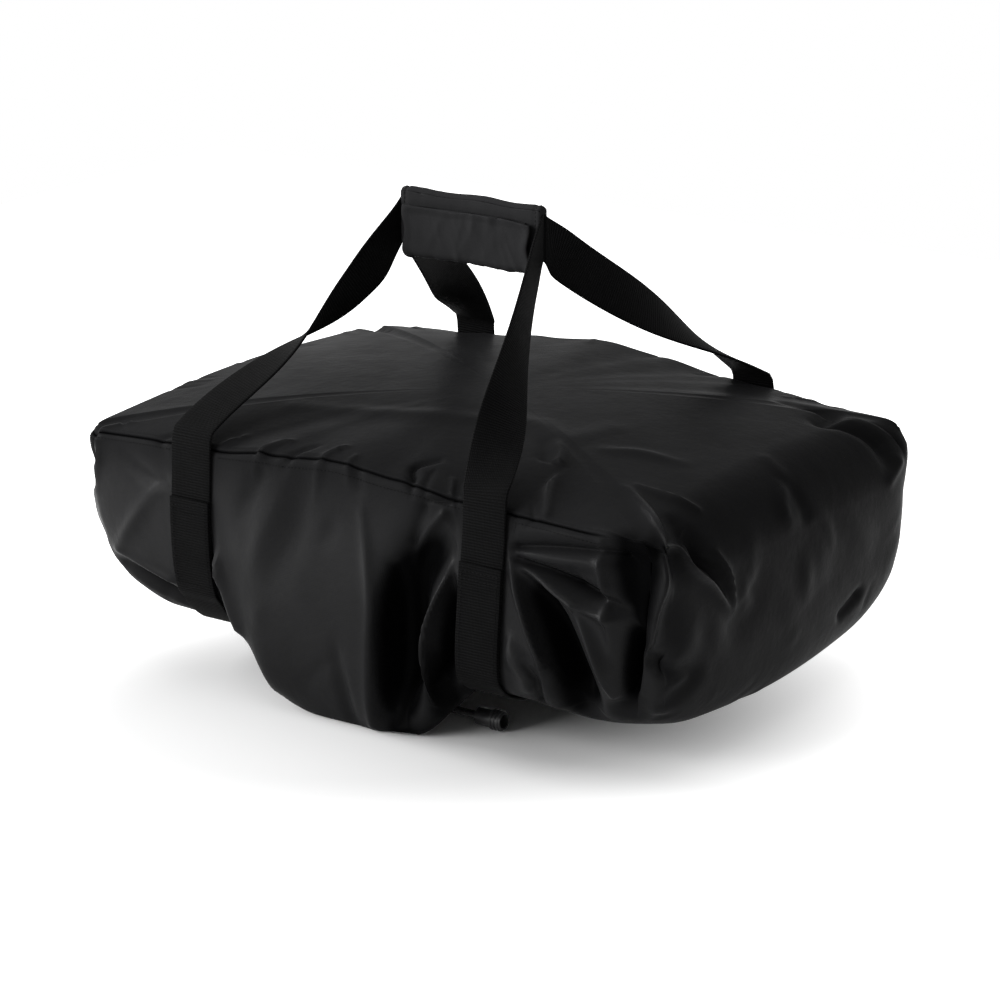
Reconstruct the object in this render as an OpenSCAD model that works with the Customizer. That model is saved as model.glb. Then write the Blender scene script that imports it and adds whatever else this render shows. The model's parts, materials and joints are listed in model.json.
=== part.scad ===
// Roundnet set packed in its soft carry bag: a lofted cloth bag in two webbing slings, two webbing
// handles gathered in a wrapped grip, a drawcord mouth underneath, and the set itself inside.
// X is the long axis, -Y the front, +Z up. The origin is under the middle, on the resting plane.

/* [Ring sections] */
// Outer diameter of the assembled ring
ring_d = 900; // [880:2:910]
// Outer diameter of the ring's tube
rim_d = 19; // [17:0.5:20]
// Wall of the ring's tube
rim_wall = 1.6; // [1:0.1:2.5]
// Gap that each leg head keeps between two ring sections
rim_gap = 8; // [5:0.5:12]
// Reach of the ring sections' ends to the front and back
rim_end_y = 180; // [172:1:182]

/* [Legs] */
// Height of the ring's middle above the ground
leg_h = 190; // [180:1:196]
// Outer diameter of a leg tube
leg_d = 16; // [13:0.5:17]
// Wall of a leg tube
leg_wall = 1.4; // [1:0.1:2]
// Outer diameter of a leg head's cross tube
head_d = 24; // [22.5:0.1:25]
// Length of a leg head's cross tube
head_l = 82; // [60:1:86]
// Depth of a leg head's leg socket
socket_l = 26; // [18:1:34]
// Diameter of a leg's foot
foot_d = 21; // [20:0.5:24]
// Length of a leg's foot
foot_l = 26; // [18:1:34]
// Spacing of the packed legs
leg_pitch = 22; // [21.5:0.1:22.5]

/* [Balls and net] */
// Diameter of a ball
ball_d = 89; // [84:0.5:92]
// Length of the folded net
net_l = 146; // [120:1:150]
// Width of the folded net
net_w = 80; // [60:1:84]
// Layers of the folded net
net_folds = 6; // [4:1:7]
// Gap between two layers of the folded net
net_gap = 2.4; // [1.5:0.1:4]
// Wire diameter of a net hook
hook_d = 3; // [2:0.1:4]

/* [Bag] */
// Thickness of the bag's cloth
cloth_t = 1.5; // [1.2:0.1:1.8]
// Width of the bag over its top corners
bag_w = 400; // [394:1:410]
// Radius of the bag's upright corners
corner_r = 16; // [12:1:24]
// Room between the ring sections and the bag's ends
end_room = 22; // [16:1:26]
// Rise of the bag's crown above its top corners
crown_h = 35; // [28:1:45]
// Depth that the slack lobes hang below the base
lobe_drop = 46; // [40:1:52]
// Reach of the base to the right
base_right = 236; // [230:1:242]
// Width of the base
base_w = 284; // [276:1:292]
// Corner radius of the base
base_r = 32; // [24:1:40]
// Length of the mouth's straight sides
mouth_l = 90; // [70:1:110]
// Radius of the mouth's round ends
mouth_r = 45; // [35:1:52]

/* [Webbing] */
// Width of the webbing
web_w = 40; // [36:1:44]
// Thickness of the webbing
web_t = 2.2; // [1.8:0.1:2.6]
// Spacing of the two slings
sling_gap = 288; // [270:2:296]
// Shift of the slings and the grip to the left
strap_shift = 20; // [10:1:28]

/* [Grip] */
// Length of the grip's wrap
grip_l = 138; // [120:1:150]
// Height of the grip's middle above the bag's top corners
grip_rise = 170; // [155:1:185]
// Shift of the grip to the front
grip_front = 10; // [4:1:16]
// Thickness of the padded wrap
wrap_t = 3; // [2.4:0.1:4]
// Thickness of the hook and loop tapes
tape_t = 1.2; // [0.8:0.1:1.6]

/* [Drawcord] */
// Diameter of the drawcord
cord_d = 4; // [3:0.1:4.4]
// Diameter of the cord lock's barrel
lock_d = 16; // [15.5:0.1:19]
// Length of the cord lock's barrel
lock_l = 27; // [26.5:0.5:30]
// Diameter of the cord lock's button
button_d = 11; // [10.4:0.1:12]
// Travel of the cord lock's button
button_travel = 4; // [2:0.1:4.5]
// Diameter of the bell's mouth
bell_d = 17.4; // [16:0.2:19]
// Length of the bell
bell_l = 24; // [21:0.5:28]

/* [Hidden] */
$fn = 48;
sections = 5;
tiny = 0.01;
// Clearance between loose pieces that lie on each other
seat = 0.2;
// Clearance between the webbing and the cloth below it
web_seat = 0.15;
// Clearance of a sliding fit, on the radius
slide_fit = 0.05;

// Ring sections: mean radius, half angle, half span and rise of the bow
ring_r = (ring_d - rim_d) / 2;
rim_half = 180 / sections - asin(rim_gap / 2 / ring_r);
rim_reach = (ring_r + rim_d / 2) * sin(rim_half);
rim_bow = ring_r * (1 - cos(rim_half));
rim_mid_y = rim_end_y - rim_bow;
front_stack = 3;

// Levels of the packed stack
base_z = lobe_drop;
floor_z = base_z + cloth_t;
rim_z = floor_z + ball_d + 2 * seat + rim_d / 2;
rim_step = rim_d + seat;
corner_z = rim_z + front_stack * rim_step - rim_d / 2 + 4 + cloth_t;

// Outline of the bag's top seam
half_l = rim_reach + end_room;
half_w = bag_w / 2;
web_half = web_w / 2;
sling_left = -strap_shift - sling_gap / 2;
sling_right = sling_gap / 2 - strap_shift;

// Reach of the base to the left, a little past the left sling and the corner
base_left = web_half - sling_left + base_r + 8;

// Numbers of stations around the bag: sides from left to right, ends and corners
side_n = 16;
end_n = 7;
bend_n = 3;
stations = 2 * (side_n + end_n) + 4 * bend_n;

// Stations in the middle of each sling, seen from the front and the back
left_front = 3;
right_front = 11;
right_back = 2 * side_n + end_n + 2 * bend_n - 1 - right_front;
left_back = 2 * side_n + end_n + 2 * bend_n - 1 - left_front;

// Stations on the four corners, where the side panels are sewn together
corner_fr = side_n + 1;
corner_br = side_n + end_n + bend_n + 1;
corner_bl = 2 * side_n + end_n + 2 * bend_n + 1;
corner_fl = 2 * side_n + 2 * end_n + 3 * bend_n + 1 - stations;

// Depth by which the lobes' lowest part is pressed flat on the resting plane
flat_depth = 7;

// Wall shapes from the seam (0) to the base's edge (1): the wall's middle as a share of the way and of
// the height, its lower turn as a share and a height over the base, and its lowest point in the same way
wall_left_sling = [-0.06, 0.62, 0.06, 38, 0.52, 6];
wall_right_sling = [-0.12, 0.60, -0.16, 26, 0.32, 4];
wall_lobe = [-0.20, 0.45, -0.20, -20, 0.26, -lobe_drop - flat_depth];
wall_right_lobe = [-0.06, 0.55, 0.12, 20, 0.66, -10];
wall_front_right = [0.00, 0.55, 0.22, 26, 0.70, -8];
wall_right = [-0.10, 0.52, -0.02, 14, 0.42, -16];
wall_back_right = [-0.04, 0.55, 0.12, 34, 0.60, -8];
wall_left_corner = [-0.03, 0.66, 0.18, 44, 0.60, 8];
wall_left = [-0.10, 0.60, 0.10, 38, 0.56, 4];

// Around the bag: station, rise of the seam over the corners, wall shape
bag_shape = [
    [corner_fl, 0, wall_left_corner],
    [left_front - 1, 7, wall_left_sling],
    [left_front + 1, 8, wall_left_sling],
    [left_front + 2.4, 15, wall_lobe],
    [(left_front + right_front) / 2, 20, wall_lobe],
    [right_front - 2.6, 15, wall_lobe],
    [right_front - 1, 8, wall_right_sling],
    [right_front + 1, 6, wall_right_sling],
    [side_n - 2, 3, wall_right_lobe],
    [corner_fr, 0, wall_front_right],
    [side_n + bend_n + 3, 10, wall_right],
    [corner_br, 0, wall_back_right],
    [right_back - 3, 4, wall_right_lobe],
    [right_back - 1, 12, wall_right_sling],
    [right_back + 1, 15, wall_right_sling],
    [right_back + 2.6, 24, wall_lobe],
    [(right_back + left_back) / 2, 30, wall_lobe],
    [left_back - 2.4, 24, wall_lobe],
    [left_back - 1, 17, wall_left_sling],
    [left_back + 1, 13, wall_left_sling],
    [corner_bl, 0, wall_left_corner],
    [corner_bl + bend_n + 2, 13, wall_left],
    [corner_fl + stations, 0, wall_left_corner]
];

// Rows of the bag's grid: shares of the way out on the top, then steps down each wall
top_shares = [0.2, 0.45, 0.7, 0.88];
seam_row = len(top_shares);
wall_steps = 12;
base_row = seam_row + wall_steps;
crown_power = 2.2;

// Rows between which a handle and a sling are sewn together
sewn_top = seam_row + 2;
sewn_end = seam_row + 6;

// Grip: middle of the wrap, and the wrap's inner half height and thickness
grip_x = -strap_shift;
grip_y = -grip_front;
grip_z = corner_z + grip_rise;
web_room = 0.4;
wrap_in_z = web_half + 1;
wrap_in_y = web_t + web_room;
flap_gap = 0.4;
flap_inset = 7;
flap_l = grip_l - 2 * flap_inset;
tape_h = 24;
tape_inset = 6;
tape_l = flap_l - 2 * tape_inset;
flap_y = wrap_in_y + 2 * wrap_t + 2 * tape_t + seat;

// Start of a handle's free stretch off the seam
handle_out = 1.6;
handle_lift = 11;
// Last share of a handle's free stretch, in which the wrap keeps its width upright
held_share = 0.22;
// Free stretches of the handles, left and right on the front, then on the back: way out of the seam,
// way out of the grip, how late the width turns upright, and which way it turns
handle_bends = [
    [[-1, 68, 36], [-13, -76, -87], 1.3, 1],
    [[-22, 66, 56], [13, -42, -32], 0.5, -1],
    [[18, -50, 42], [-12, 36, -30], 0.6, 1],
    [[-18, -98, 55], [5, 37, -39], 1.6, -1]
];

// Drawcord: hem tube around the mouth, its notch, the cord's spacing and its straight length
hem_room = 0.5;
hem_wall = 1.6;
hem_r = cord_d / 2 + hem_room + hem_wall;
hem_z = base_z - hem_r;
hem_x = -strap_shift;
notch_w = 26;
cord_gap = 0.8;
strand = (cord_d + cord_gap) / 2;
lock_x = 38;
lock_wall = 2;
button_in = lock_l / 2 - lock_wall;
lock_y = -145;
lock_z = max(lock_d, bell_d) / 2 + 0.3;
bell_x = 79;
knot_d = 11;
// Sides of the cord's tube, and steps on a round end of the mouth
cord_sides = 8;
mouth_steps = 12;

// n places from a towards b, without b
function spread(a, b, n) = [for (k = [0:n - 1]) a + (b - a) * k / n];
function backwards(v) = [for (k = [len(v) - 1:-1:0]) v[k]];
function unit(v) = v / norm(v);
function mix(a, b, s) = a + (b - a) * s;
function ease(s) = s * s * (3 - 2 * s);
function sum(v, k = 0) = k >= len(v) ? 0 : v[k] + sum(v, k + 1);

// Smooth curve through b and c, with neighbours a and d
function curve(a, b, c, d, s) =
    b + (c - a) * s / 2 + (2 * a - 5 * b + 4 * c - d) * s * s / 2 + (3 * b - a - 3 * c + d) * s * s * s / 2;

// Faces turned so that they all look outwards
function signed_volume(pts, faces) = sum([for (f = faces) pts[f[0]] * cross(pts[f[1]], pts[f[2]])]);
function outward(pts, faces) =
    signed_volume(pts, faces) < 0 ? faces : [for (f = faces) backwards(f)];
module solid(pts, faces) {
    polyhedron(pts, outward(pts, faces), convexity = 6);
}

// Two triangles between the places a, b of one row and c, d of the next one
function quad(a, b, c, d) = [[a, b, c], [a, c, d]];
function flat_list(v) = [for (q = v) for (f = q) f];

// Closed tube through rings of equal length, with an even number of points each
module swept(rings) {
    m = len(rings[0]);
    n = len(rings);
    walls = flat_list([for (r = [0:n - 2]) for (k = [0:m - 1])
        quad(r * m + k, r * m + (k + 1) % m, (r + 1) * m + (k + 1) % m, (r + 1) * m + k)]);
    cap = flat_list([for (k = [0:m / 2 - 2]) quad(k, k + 1, m - 2 - k, m - 1 - k)]);
    first = [for (f = cap) backwards(f)];
    last = [for (f = cap) [for (q = f) q + (n - 1) * m]];
    solid([for (r = rings) for (p = r) p], concat(walls, first, last));
}

// Outline of the bag with matching stations: reach to the left and right, half width, corner radius
function side_x(l, r, c) = concat(
    spread(c - l, sling_left - web_half, 2), [sling_left - web_half, sling_left],
    spread(sling_left + web_half, sling_right - web_half, 6), [sling_right - web_half, sling_right],
    spread(sling_right + web_half, r - c, 3), [r - c]);
function end_y(w, c) = concat(spread(c - w, w - c, end_n - 1), [w - c]);
function bend(x, y, c, turn) =
    [for (k = [1:bend_n]) [x, y] + c * [cos(turn + 90 * k / (bend_n + 1)), sin(turn + 90 * k / (bend_n + 1))]];
function outline(l, r, w, c) = concat(
    [for (x = side_x(l, r, c)) [x, -w]], bend(r - c, c - w, c, -90),
    [for (y = end_y(w, c)) [r, y]], bend(r - c, w - c, c, 0),
    [for (x = backwards(side_x(l, r, c))) [x, w]], bend(c - l, w - c, c, 90),
    [for (y = backwards(end_y(w, c))) [-l, y]], bend(c - l, c - w, c, 180));
seam_xy = outline(half_l, half_l, half_w, corner_r);
base_xy = outline(base_left, base_right, base_w / 2, base_r);

// Seam's rise and wall shape at a station, eased between the hand-set ones
function shape_at(i) =
    let (k = max([for (q = [0:len(bag_shape) - 2]) if (bag_shape[q][0] <= i) q]),
         a = bag_shape[k], b = bag_shape[k + 1], s = ease((i - a[0]) / (b[0] - a[0])))
    [mix(a[1], b[1], s), mix(a[2], b[2], s)];

// Share of the way in and height of a wall, at a step down from the seam
function wall_at(i, step) =
    let (c = shape_at(i), w = c[1],
         p0 = [0, corner_z + c[0]], p1 = [w[0], mix(base_z, corner_z, w[1])],
         p2 = [w[2], base_z + w[3]], p3 = [w[4], base_z + w[5]], p4 = [1, base_z],
         p = [2 * p0 - p1, p0, p1, p2, p3, p4, [2 - w[4], base_z + w[5]]],
         q = min(floor(step / 3), 3), s = step / 3 - q)
    curve(p[q], p[q + 1], p[q + 2], p[q + 3], s);

function top_point(i, share) =
    let (top_z = corner_z + crown_h, edge_z = corner_z + shape_at(i)[0], p = seam_xy[i] * share)
    [p.x, p.y, top_z - (top_z - edge_z) * pow(share, crown_power)];
function wall_point(i, step) =
    let (w = wall_at(i, step), p = mix(seam_xy[i], base_xy[i], w[0]))
    [p.x, p.y, max(w[1], 0)];
bag_grid = [
    for (s = top_shares) [for (i = [0:stations - 1]) top_point(i, s)],
    for (step = [0:wall_steps]) [for (i = [0:stations - 1]) wall_point(i, step)]
];

// Outward direction of the cloth at a row and a station
function place(r, i) = bag_grid[r][(i + stations) % stations];
function facing(r, i) = r == base_row ? [0, 0, -1] :
    unit(cross(place(r + 1, i) - place(max(r - 1, 0), i), place(r, i + 1) - place(r, i - 1)));
cloth_out = [for (r = [0:base_row]) [for (i = [0:stations - 1]) facing(r, i)]];
function off_cloth(r, i, d) = place(r, i) + cloth_out[r][(i + stations) % stations] * d;

// Panel of the bag between two stations, from the seam to the base's edge
module wall_panel(from, to) {
    m = to - from + 1;
    n = wall_steps + 1;
    inner = m * n;
    pts = [
        for (r = [seam_row:base_row]) for (i = [from:to]) off_cloth(r, i, 0),
        for (r = [seam_row:base_row]) for (i = [from:to]) off_cloth(r, i, -cloth_t)
    ];
    skins = flat_list([for (r = [0:n - 2]) for (i = [0:m - 2]) let (a = r * m + i) each [
        quad(a, a + 1, a + m + 1, a + m),
        [for (f = quad(a, a + 1, a + m + 1, a + m)) [f[2] + inner, f[1] + inner, f[0] + inner]]
    ]]);
    long_edges = flat_list([for (i = [0:m - 2]) let (b = (n - 1) * m) each [
        [for (f = quad(i, i + 1, i + 1 + inner, i + inner)) backwards(f)],
        quad(b + i, b + i + 1, b + i + 1 + inner, b + i + inner)
    ]]);
    short_edges = flat_list([for (r = [0:n - 2]) let (a = r * m, b = r * m + m - 1) each [
        quad(a, a + m, a + m + inner, a + inner),
        [for (f = quad(b, b + m, b + m + inner, b + inner)) backwards(f)]
    ]]);
    solid(pts, concat(skins, long_edges, short_edges));
}

module top_panel() {
    n = seam_row + 1;
    m = stations;
    inner = m * n;
    middle = [0, 0, corner_z + crown_h];
    pts = [
        for (r = [0:seam_row]) for (i = [0:m - 1]) off_cloth(r, i, 0),
        for (r = [0:seam_row]) for (i = [0:m - 1]) off_cloth(r, i, -cloth_t),
        middle,
        middle - [0, 0, cloth_t]
    ];
    skins = flat_list([for (r = [0:n - 2]) for (i = [0:m - 1])
        let (a = r * m + i, b = r * m + (i + 1) % m) each [
            quad(a, b, b + m, a + m),
            [for (f = quad(a, b, b + m, a + m)) [f[2] + inner, f[1] + inner, f[0] + inner]]
        ]]);
    caps = flat_list([for (i = [0:m - 1]) let (b = (i + 1) % m)
        [[2 * inner, b, i], [2 * inner + 1, i + inner, b + inner]]]);
    edge = flat_list([for (i = [0:m - 1]) let (a = seam_row * m + i, b = seam_row * m + (i + 1) % m)
        quad(a, b, b + inner, a + inner)]);
    color("#2c2d2f") solid(pts, concat(skins, caps, edge));
}
module front_panel() {
    color("#2a2b2d") wall_panel(corner_fl, corner_fr);
}
module right_end_panel() {
    color("#252628") wall_panel(corner_fr, corner_br);
}
module back_panel() {
    color("#2a2b2d") wall_panel(corner_br, corner_bl);
}
module left_end_panel() {
    color("#303134") wall_panel(corner_bl, corner_fl + stations);
}

// Outline of the mouth, grown by a margin
module mouth_shape(margin) {
    square([mouth_l, 2 * (mouth_r + margin)], center = true);
    for (side = [-1, 1]) translate([side * mouth_l / 2, 0]) circle(mouth_r + margin);
}
module base_panel() {
    color("#222325") translate([0, 0, base_z]) linear_extrude(cloth_t) difference() {
        polygon(base_xy);
        translate([hem_x, 0]) mouth_shape(0);
    }
}

// Rolled hem along the mouth's edge, as a bead of the given radius
module mouth_bead(r) {
    for (side = [-1, 1]) {
        translate([0, side * mouth_r, 0]) rotate([0, 90, 0]) cylinder(r = r, h = mouth_l, center = true);
        translate([side * mouth_l / 2, 0, 0]) rotate([0, 0, -side * 90])
            rotate_extrude(angle = 180) translate([mouth_r, 0]) circle(r);
    }
}
module mouth_hem() {
    color("#1d1e20") translate([hem_x, 0, hem_z]) difference() {
        mouth_bead(hem_r);
        mouth_bead(hem_r - hem_wall);
        translate([-notch_w / 2, -mouth_r - hem_r - tiny, -hem_r - tiny])
            cube([notch_w, hem_r + tiny, 2 * hem_r - hem_wall + tiny]);
    }
}

// Band of webbing on the bag's cloth: stations across it, lower and upper distance from the cloth
function web_ring(r, across, low, high) =
    concat([for (i = across) off_cloth(r, i, low)], [for (i = backwards(across)) off_cloth(r, i, high)]);
function across(i, turn = 1) = [i - turn, i, i + turn];

// A sling lies over the handle's sewn end, drops to the cloth and runs under the base to the other side
function sling_half(i, turn) = [for (r = [sewn_top:base_row])
    let (low = r <= sewn_end ? web_t + 2 * web_seat : web_seat)
        web_ring(r, across(i, turn), low, low + web_t)];
module sling(front, back) {
    swept(concat(sling_half(front, 1), backwards(sling_half(back, -1))));
}
module left_sling() {
    color("#151516") sling(left_front, left_back);
}
module right_sling() {
    color("#151516") sling(right_front, right_back);
}

// Free stretch of a handle: a smooth bend from the seam to the grip, its width turning from level to upright
function bezier(p, s) = let (t = 1 - s)
    t * t * t * p[0] + 3 * t * t * s * p[1] + 3 * t * s * s * p[2] + s * s * s * p[3];
function bend_of(side, end) = handle_bends[(side > 0 ? 2 : 0) + (end > 0 ? 1 : 0)];
function handle_bend(i, side, end, lane) =
    let (foot = place(seam_row, i) + [0, side * handle_out, handle_lift], b = bend_of(side, end),
         grip = [grip_x + end * grip_l / 2, grip_y + lane, grip_z])
    [foot, foot + b[0], grip + b[1], grip];
function web_section(at, along, turn, flip, held) =
    let (lean = mix([flip, 0, 0], [0, 0, 1], turn), free = unit(lean - along * (lean * along)),
         wide = unit(mix(free, [0, 0, 1], held)), thick = unit(cross(wide, along)) * web_t / 2)
    [for (w = [-1, 0, 1]) at + wide * w * web_half - thick,
     for (w = [1, 0, -1]) at + wide * w * web_half + thick];
function free_rings(i, side, end, lane) =
    let (p = handle_bend(i, side, end, lane), b = bend_of(side, end), steps = 14)
    concat(
        [web_section(place(seam_row, i) + [0, side * 3.4, -1], [0, 0, -end], 0, b[3], 0)],
        [for (k = [0:steps - 1]) let (s = k / steps)
            web_section(bezier(p, s), unit(bezier(p, s + tiny) - bezier(p, s)) * -end, ease(pow(s, b[2])), b[3],
                        ease(max(0, 1 - (1 - s) / held_share)))]);
function grip_ring(end, lane) = let (at = [grip_x + end * grip_l / 2, grip_y + lane, grip_z])
    [for (w = [-1, 0, 1]) at + [0, -web_t / 2, w * web_half],
     for (w = [1, 0, -1]) at + [0, web_t / 2, w * web_half]];

// Sewn end of a handle on the cloth, with its faces in the same order as the free stretch
function sewn_rings(i, side, end) =
    let (turn = -side * bend_of(side, end)[3], outside_first = turn * end > 0)
    [for (r = [sewn_end:-1:seam_row + 1])
        outside_first ? web_ring(r, across(i, turn), web_t + web_seat, web_seat)
            : web_ring(r, across(i, turn), web_seat, web_t + web_seat)];
module handle(left, right, side) {
    lane = side * (web_t + web_room) / 2;
    swept(concat(
        sewn_rings(left, side, -1),
        free_rings(left, side, -1, lane),
        [grip_ring(-1, lane), grip_ring(1, lane)],
        backwards(free_rings(right, side, 1, lane)),
        backwards(sewn_rings(right, side, 1))));
}
module front_handle() {
    color("#18181a") handle(left_front, right_front, -1);
}
module back_handle() {
    color("#18181a") handle(left_back, right_back, 1);
}

// Section of the wrap along the grip: X of the section is the grip's thickness, Y its height
module wrap_section(grow) {
    square([2 * (wrap_in_y + grow), 2 * wrap_in_z], center = true);
    for (end = [-1, 1]) translate([0, end * wrap_in_z]) circle(wrap_in_y + grow);
}
module along_grip(l) {
    translate([grip_x - l / 2, grip_y, grip_z]) rotate([90, 0, 90]) linear_extrude(l) children();
}
module grip_wrap() {
    color("#333437") along_grip(grip_l) difference() {
        wrap_section(wrap_t);
        wrap_section(0);
        translate([-wrap_in_y - flap_gap, -2 * wrap_in_z]) square([2 * (wrap_in_y + wrap_t), wrap_in_z]);
    }
}

// The flap hangs from a round bead on the wrap's back edge, goes round below and closes on the front
module grip_flap() {
    low = -wrap_in_z - flap_gap - wrap_t / 2;
    back = wrap_in_y + wrap_t;
    middle = (back - flap_y) / 2;
    round_r = (back + flap_y) / 2;
    color("#2f3033") along_grip(flap_l) {
        translate([back - wrap_t / 2, low]) circle(wrap_t / 2);
        translate([middle, low]) difference() {
            circle(round_r);
            circle(round_r - wrap_t);
            translate([-2 * flap_y, 0]) square(4 * flap_y);
        }
        translate([-flap_y, low - tiny]) square([wrap_t, 1.7 * wrap_in_z]);
    }
}
module loop_tape() {
    color("#111112") translate([grip_x - tape_l / 2, grip_y - wrap_in_y - wrap_t - tape_t, grip_z - tape_h / 2])
        cube([tape_l, tape_t, tape_h]);
}
module hook_tape() {
    front = grip_y - flap_y + wrap_t;
    color("#111112") translate([grip_x - tape_l / 2, front, grip_z - tape_h / 2])
        cube([tape_l, tape_t, tape_h]);
}

// Cord: rings of a tube along its points
function cord_ring(p, along) =
    let (side = unit(cross(along, abs(along.z) > 0.9 ? [1, 0, 0] : [0, 0, 1])), up = cross(side, along))
    [for (k = [0:cord_sides - 1]) let (a = 360 * (k + 0.5) / cord_sides)
        p + cord_d / 2 * (side * cos(a) + up * sin(a))];
module cord(p) {
    n = len(p);
    swept([for (k = [0:n - 1]) cord_ring(p[k], unit(p[min(k + 1, n - 1)] - p[max(k - 1, 0)]))]);
}
// Loop in the hem, from one side of the notch round the mouth to its other side
loop_points = concat(
    [[hem_x + notch_w / 2, -mouth_r, hem_z]],
    [for (k = [0:mouth_steps]) let (a = 180 * k / mouth_steps - 90)
        [hem_x + mouth_l / 2 + mouth_r * cos(a), mouth_r * sin(a), hem_z]],
    [for (k = [0:mouth_steps]) let (a = 180 * k / mouth_steps + 90)
        [hem_x - mouth_l / 2 + mouth_r * cos(a), mouth_r * sin(a), hem_z]],
    [[hem_x - notch_w / 2, -mouth_r, hem_z]]);
module drawcord() {
    color("#3a3b3e") cord(loop_points);
}

// Tails: out of the notch, down, and along to the bell; listed by hand for the pair's middle line
tail_route = [
    [-20, -62, 38], [-20, -74, 32], [-19, -87, 24], [-17, -100, 16], [-13, -113, 11], [-7, -126, lock_z],
    [2, -137, lock_z], [12, -143, lock_z], [24, lock_y, lock_z], [lock_x, lock_y, lock_z],
    [58, lock_y, lock_z], [84, lock_y, lock_z]
];
function route_side(k) =
    let (n = len(tail_route), d = tail_route[min(k + 1, n - 1)] - tail_route[max(k - 1, 0)])
    unit([d.y, -d.x, 0]);
function tail_points(side) = concat(
    [[hem_x + side * notch_w / 2, -mouth_r, hem_z], [hem_x + side * notch_w / 3, -mouth_r - 0.6, hem_z],
     [hem_x + side * notch_w / 6, -mouth_r - 4.6, hem_z - 0.6]],
    [for (k = [0:len(tail_route) - 1]) tail_route[k] - side * strand * route_side(k)]);
module cord_tail_left() {
    color("#3a3b3e") cord(tail_points(-1));
}
module cord_tail_right() {
    color("#3a3b3e") cord(tail_points(1));
}

// Flared bell on the cord's end, with ring ribs near its mouth; the knot sits inside it
module cord_bell() {
    neck_r = 2 * strand + 0.5;
    mouth_r_out = bell_d / 2;
    shell = 1.8;
    color("#232426") translate([bell_x, lock_y, lock_z]) rotate([0, 90, 0]) {
        rotate_extrude() polygon([
            [neck_r, 0], [neck_r + shell, 0], [neck_r + shell, 5], [mouth_r_out - 1.1, 12],
            [mouth_r_out - 1.1, bell_l - 1], [mouth_r_out - 1.6, bell_l],
            [mouth_r_out - shell - 1.1, bell_l], [mouth_r_out - shell - 1.1, 10], [neck_r, 5]]);
        for (k = [0:2]) translate([0, 0, bell_l - 2.4 - 3.4 * k])
            rotate_extrude() translate([mouth_r_out - 1.1, 0]) difference() {
                circle(1.1);
                translate([-2.2, -1.1]) square([2.2, 2.2]);
            }
    }
}
module cord_knot() {
    color("#3a3b3e") translate([bell_x + 5 + knot_d / 2, lock_y, lock_z]) sphere(d = knot_d);
}

// Cord lock: a barrel across the cord, with a sprung button that carries the same slot
module cord_slot(l, room) {
    w = 2 * strand + room;
    rotate([0, 90, 0]) {
        for (side = [-1, 1]) translate([0, side * w / 2, 0]) cylinder(d = cord_d + 0.8, h = l, center = true);
        cube([cord_d + 0.8, w, l], center = true);
    }
}
module cord_lock_barrel() {
    color("#1b1c1e") translate([lock_x, lock_y, lock_z]) difference() {
        union() {
            rotate([90, 0, 0]) cylinder(d = lock_d - 1.2, h = lock_l, center = true);
            for (k = [-1:1]) rotate([90, 0, 0]) translate([0, 0, 6.4 * k])
                cylinder(d = lock_d, h = 3, center = true);
        }
        translate([0, -button_in, 0]) rotate([-90, 0, 0])
            cylinder(d = button_d + 2 * slide_fit, h = lock_l);
        cord_slot(lock_d + 1, 0.4);
    }
}
module cord_lock_button() {
    inner = -button_in + button_travel + 1;
    color("#2b2c2f") translate([lock_x, lock_y, lock_z]) difference() {
        union() {
            translate([0, inner, 0]) rotate([-90, 0, 0]) cylinder(d = button_d, h = lock_l / 2 + 6 - inner);
            translate([0, lock_l / 2 + button_travel + 0.6, 0]) rotate([-90, 0, 0])
                cylinder(d = button_d + 3, h = 2.4);
        }
        translate([0, button_travel / 2, 0]) cord_slot(lock_d, button_travel + 0.4);
    }
}
// A tapered coil, whose turns nest in one another when the button is pressed home
module cord_lock_spring() {
    turns = 3;
    per_turn = 12;
    wire = 0.8;
    nest = wire + 0.2;
    length = button_travel + 1 - wire - 2 * seat;
    coil_r = button_d / 2 - 1.4;
    line = [for (k = [0:turns * per_turn]) let (a = 360 * k / per_turn, r = coil_r - nest * k / per_turn)
        [r * cos(a), length * k / (turns * per_turn), r * sin(a)]];
    color("silver") translate([lock_x, lock_y - button_in + wire / 2 + seat, lock_z])
        swept([for (k = [0:len(line) - 1])
            let (d = unit(line[min(k + 1, len(line) - 1)] - line[max(k - 1, 0)]),
                 out = unit([line[k].x, 0, line[k].z]), up = cross(out, d))
            [for (j = [0:5]) line[k] + wire / 2 * (out * cos(60 * j) + up * sin(60 * j))]]);
}

// Ring sections: three in a stack along the front, two along the back, bowed towards the middle
module rim_section(k) {
    side = k < front_stack ? -1 : 1;
    level = k < front_stack ? k : k - front_stack;
    color("#f2c21a") translate([0, side * (rim_mid_y + ring_r), rim_z + level * rim_step])
        rotate([0, 0, -side * 90 - rim_half]) rotate_extrude(angle = 2 * rim_half, $fn = 96)
            translate([ring_r, 0]) difference() {
                circle(rim_d / 2);
                circle(rim_d / 2 - rim_wall);
            }
}

// Legs lie on edge, heads turned to either end by turns, each on its head's rim and its foot
leg_tilt = asin((head_l / 2 - foot_d / 2) / leg_h);
head_rest = head_l / 2 * cos(leg_tilt) + head_d / 2 * sin(leg_tilt);
leg_y = -8;
module packed_leg(k) {
    way = k % 2 == 0 ? 1 : -1;
    translate([-way * leg_h / 2, leg_y + (k - (sections - 1) / 2) * leg_pitch, floor_z + seat + head_rest])
        rotate([0, 0, way > 0 ? 0 : 180]) rotate([0, leg_tilt, 0]) children();
}
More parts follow.
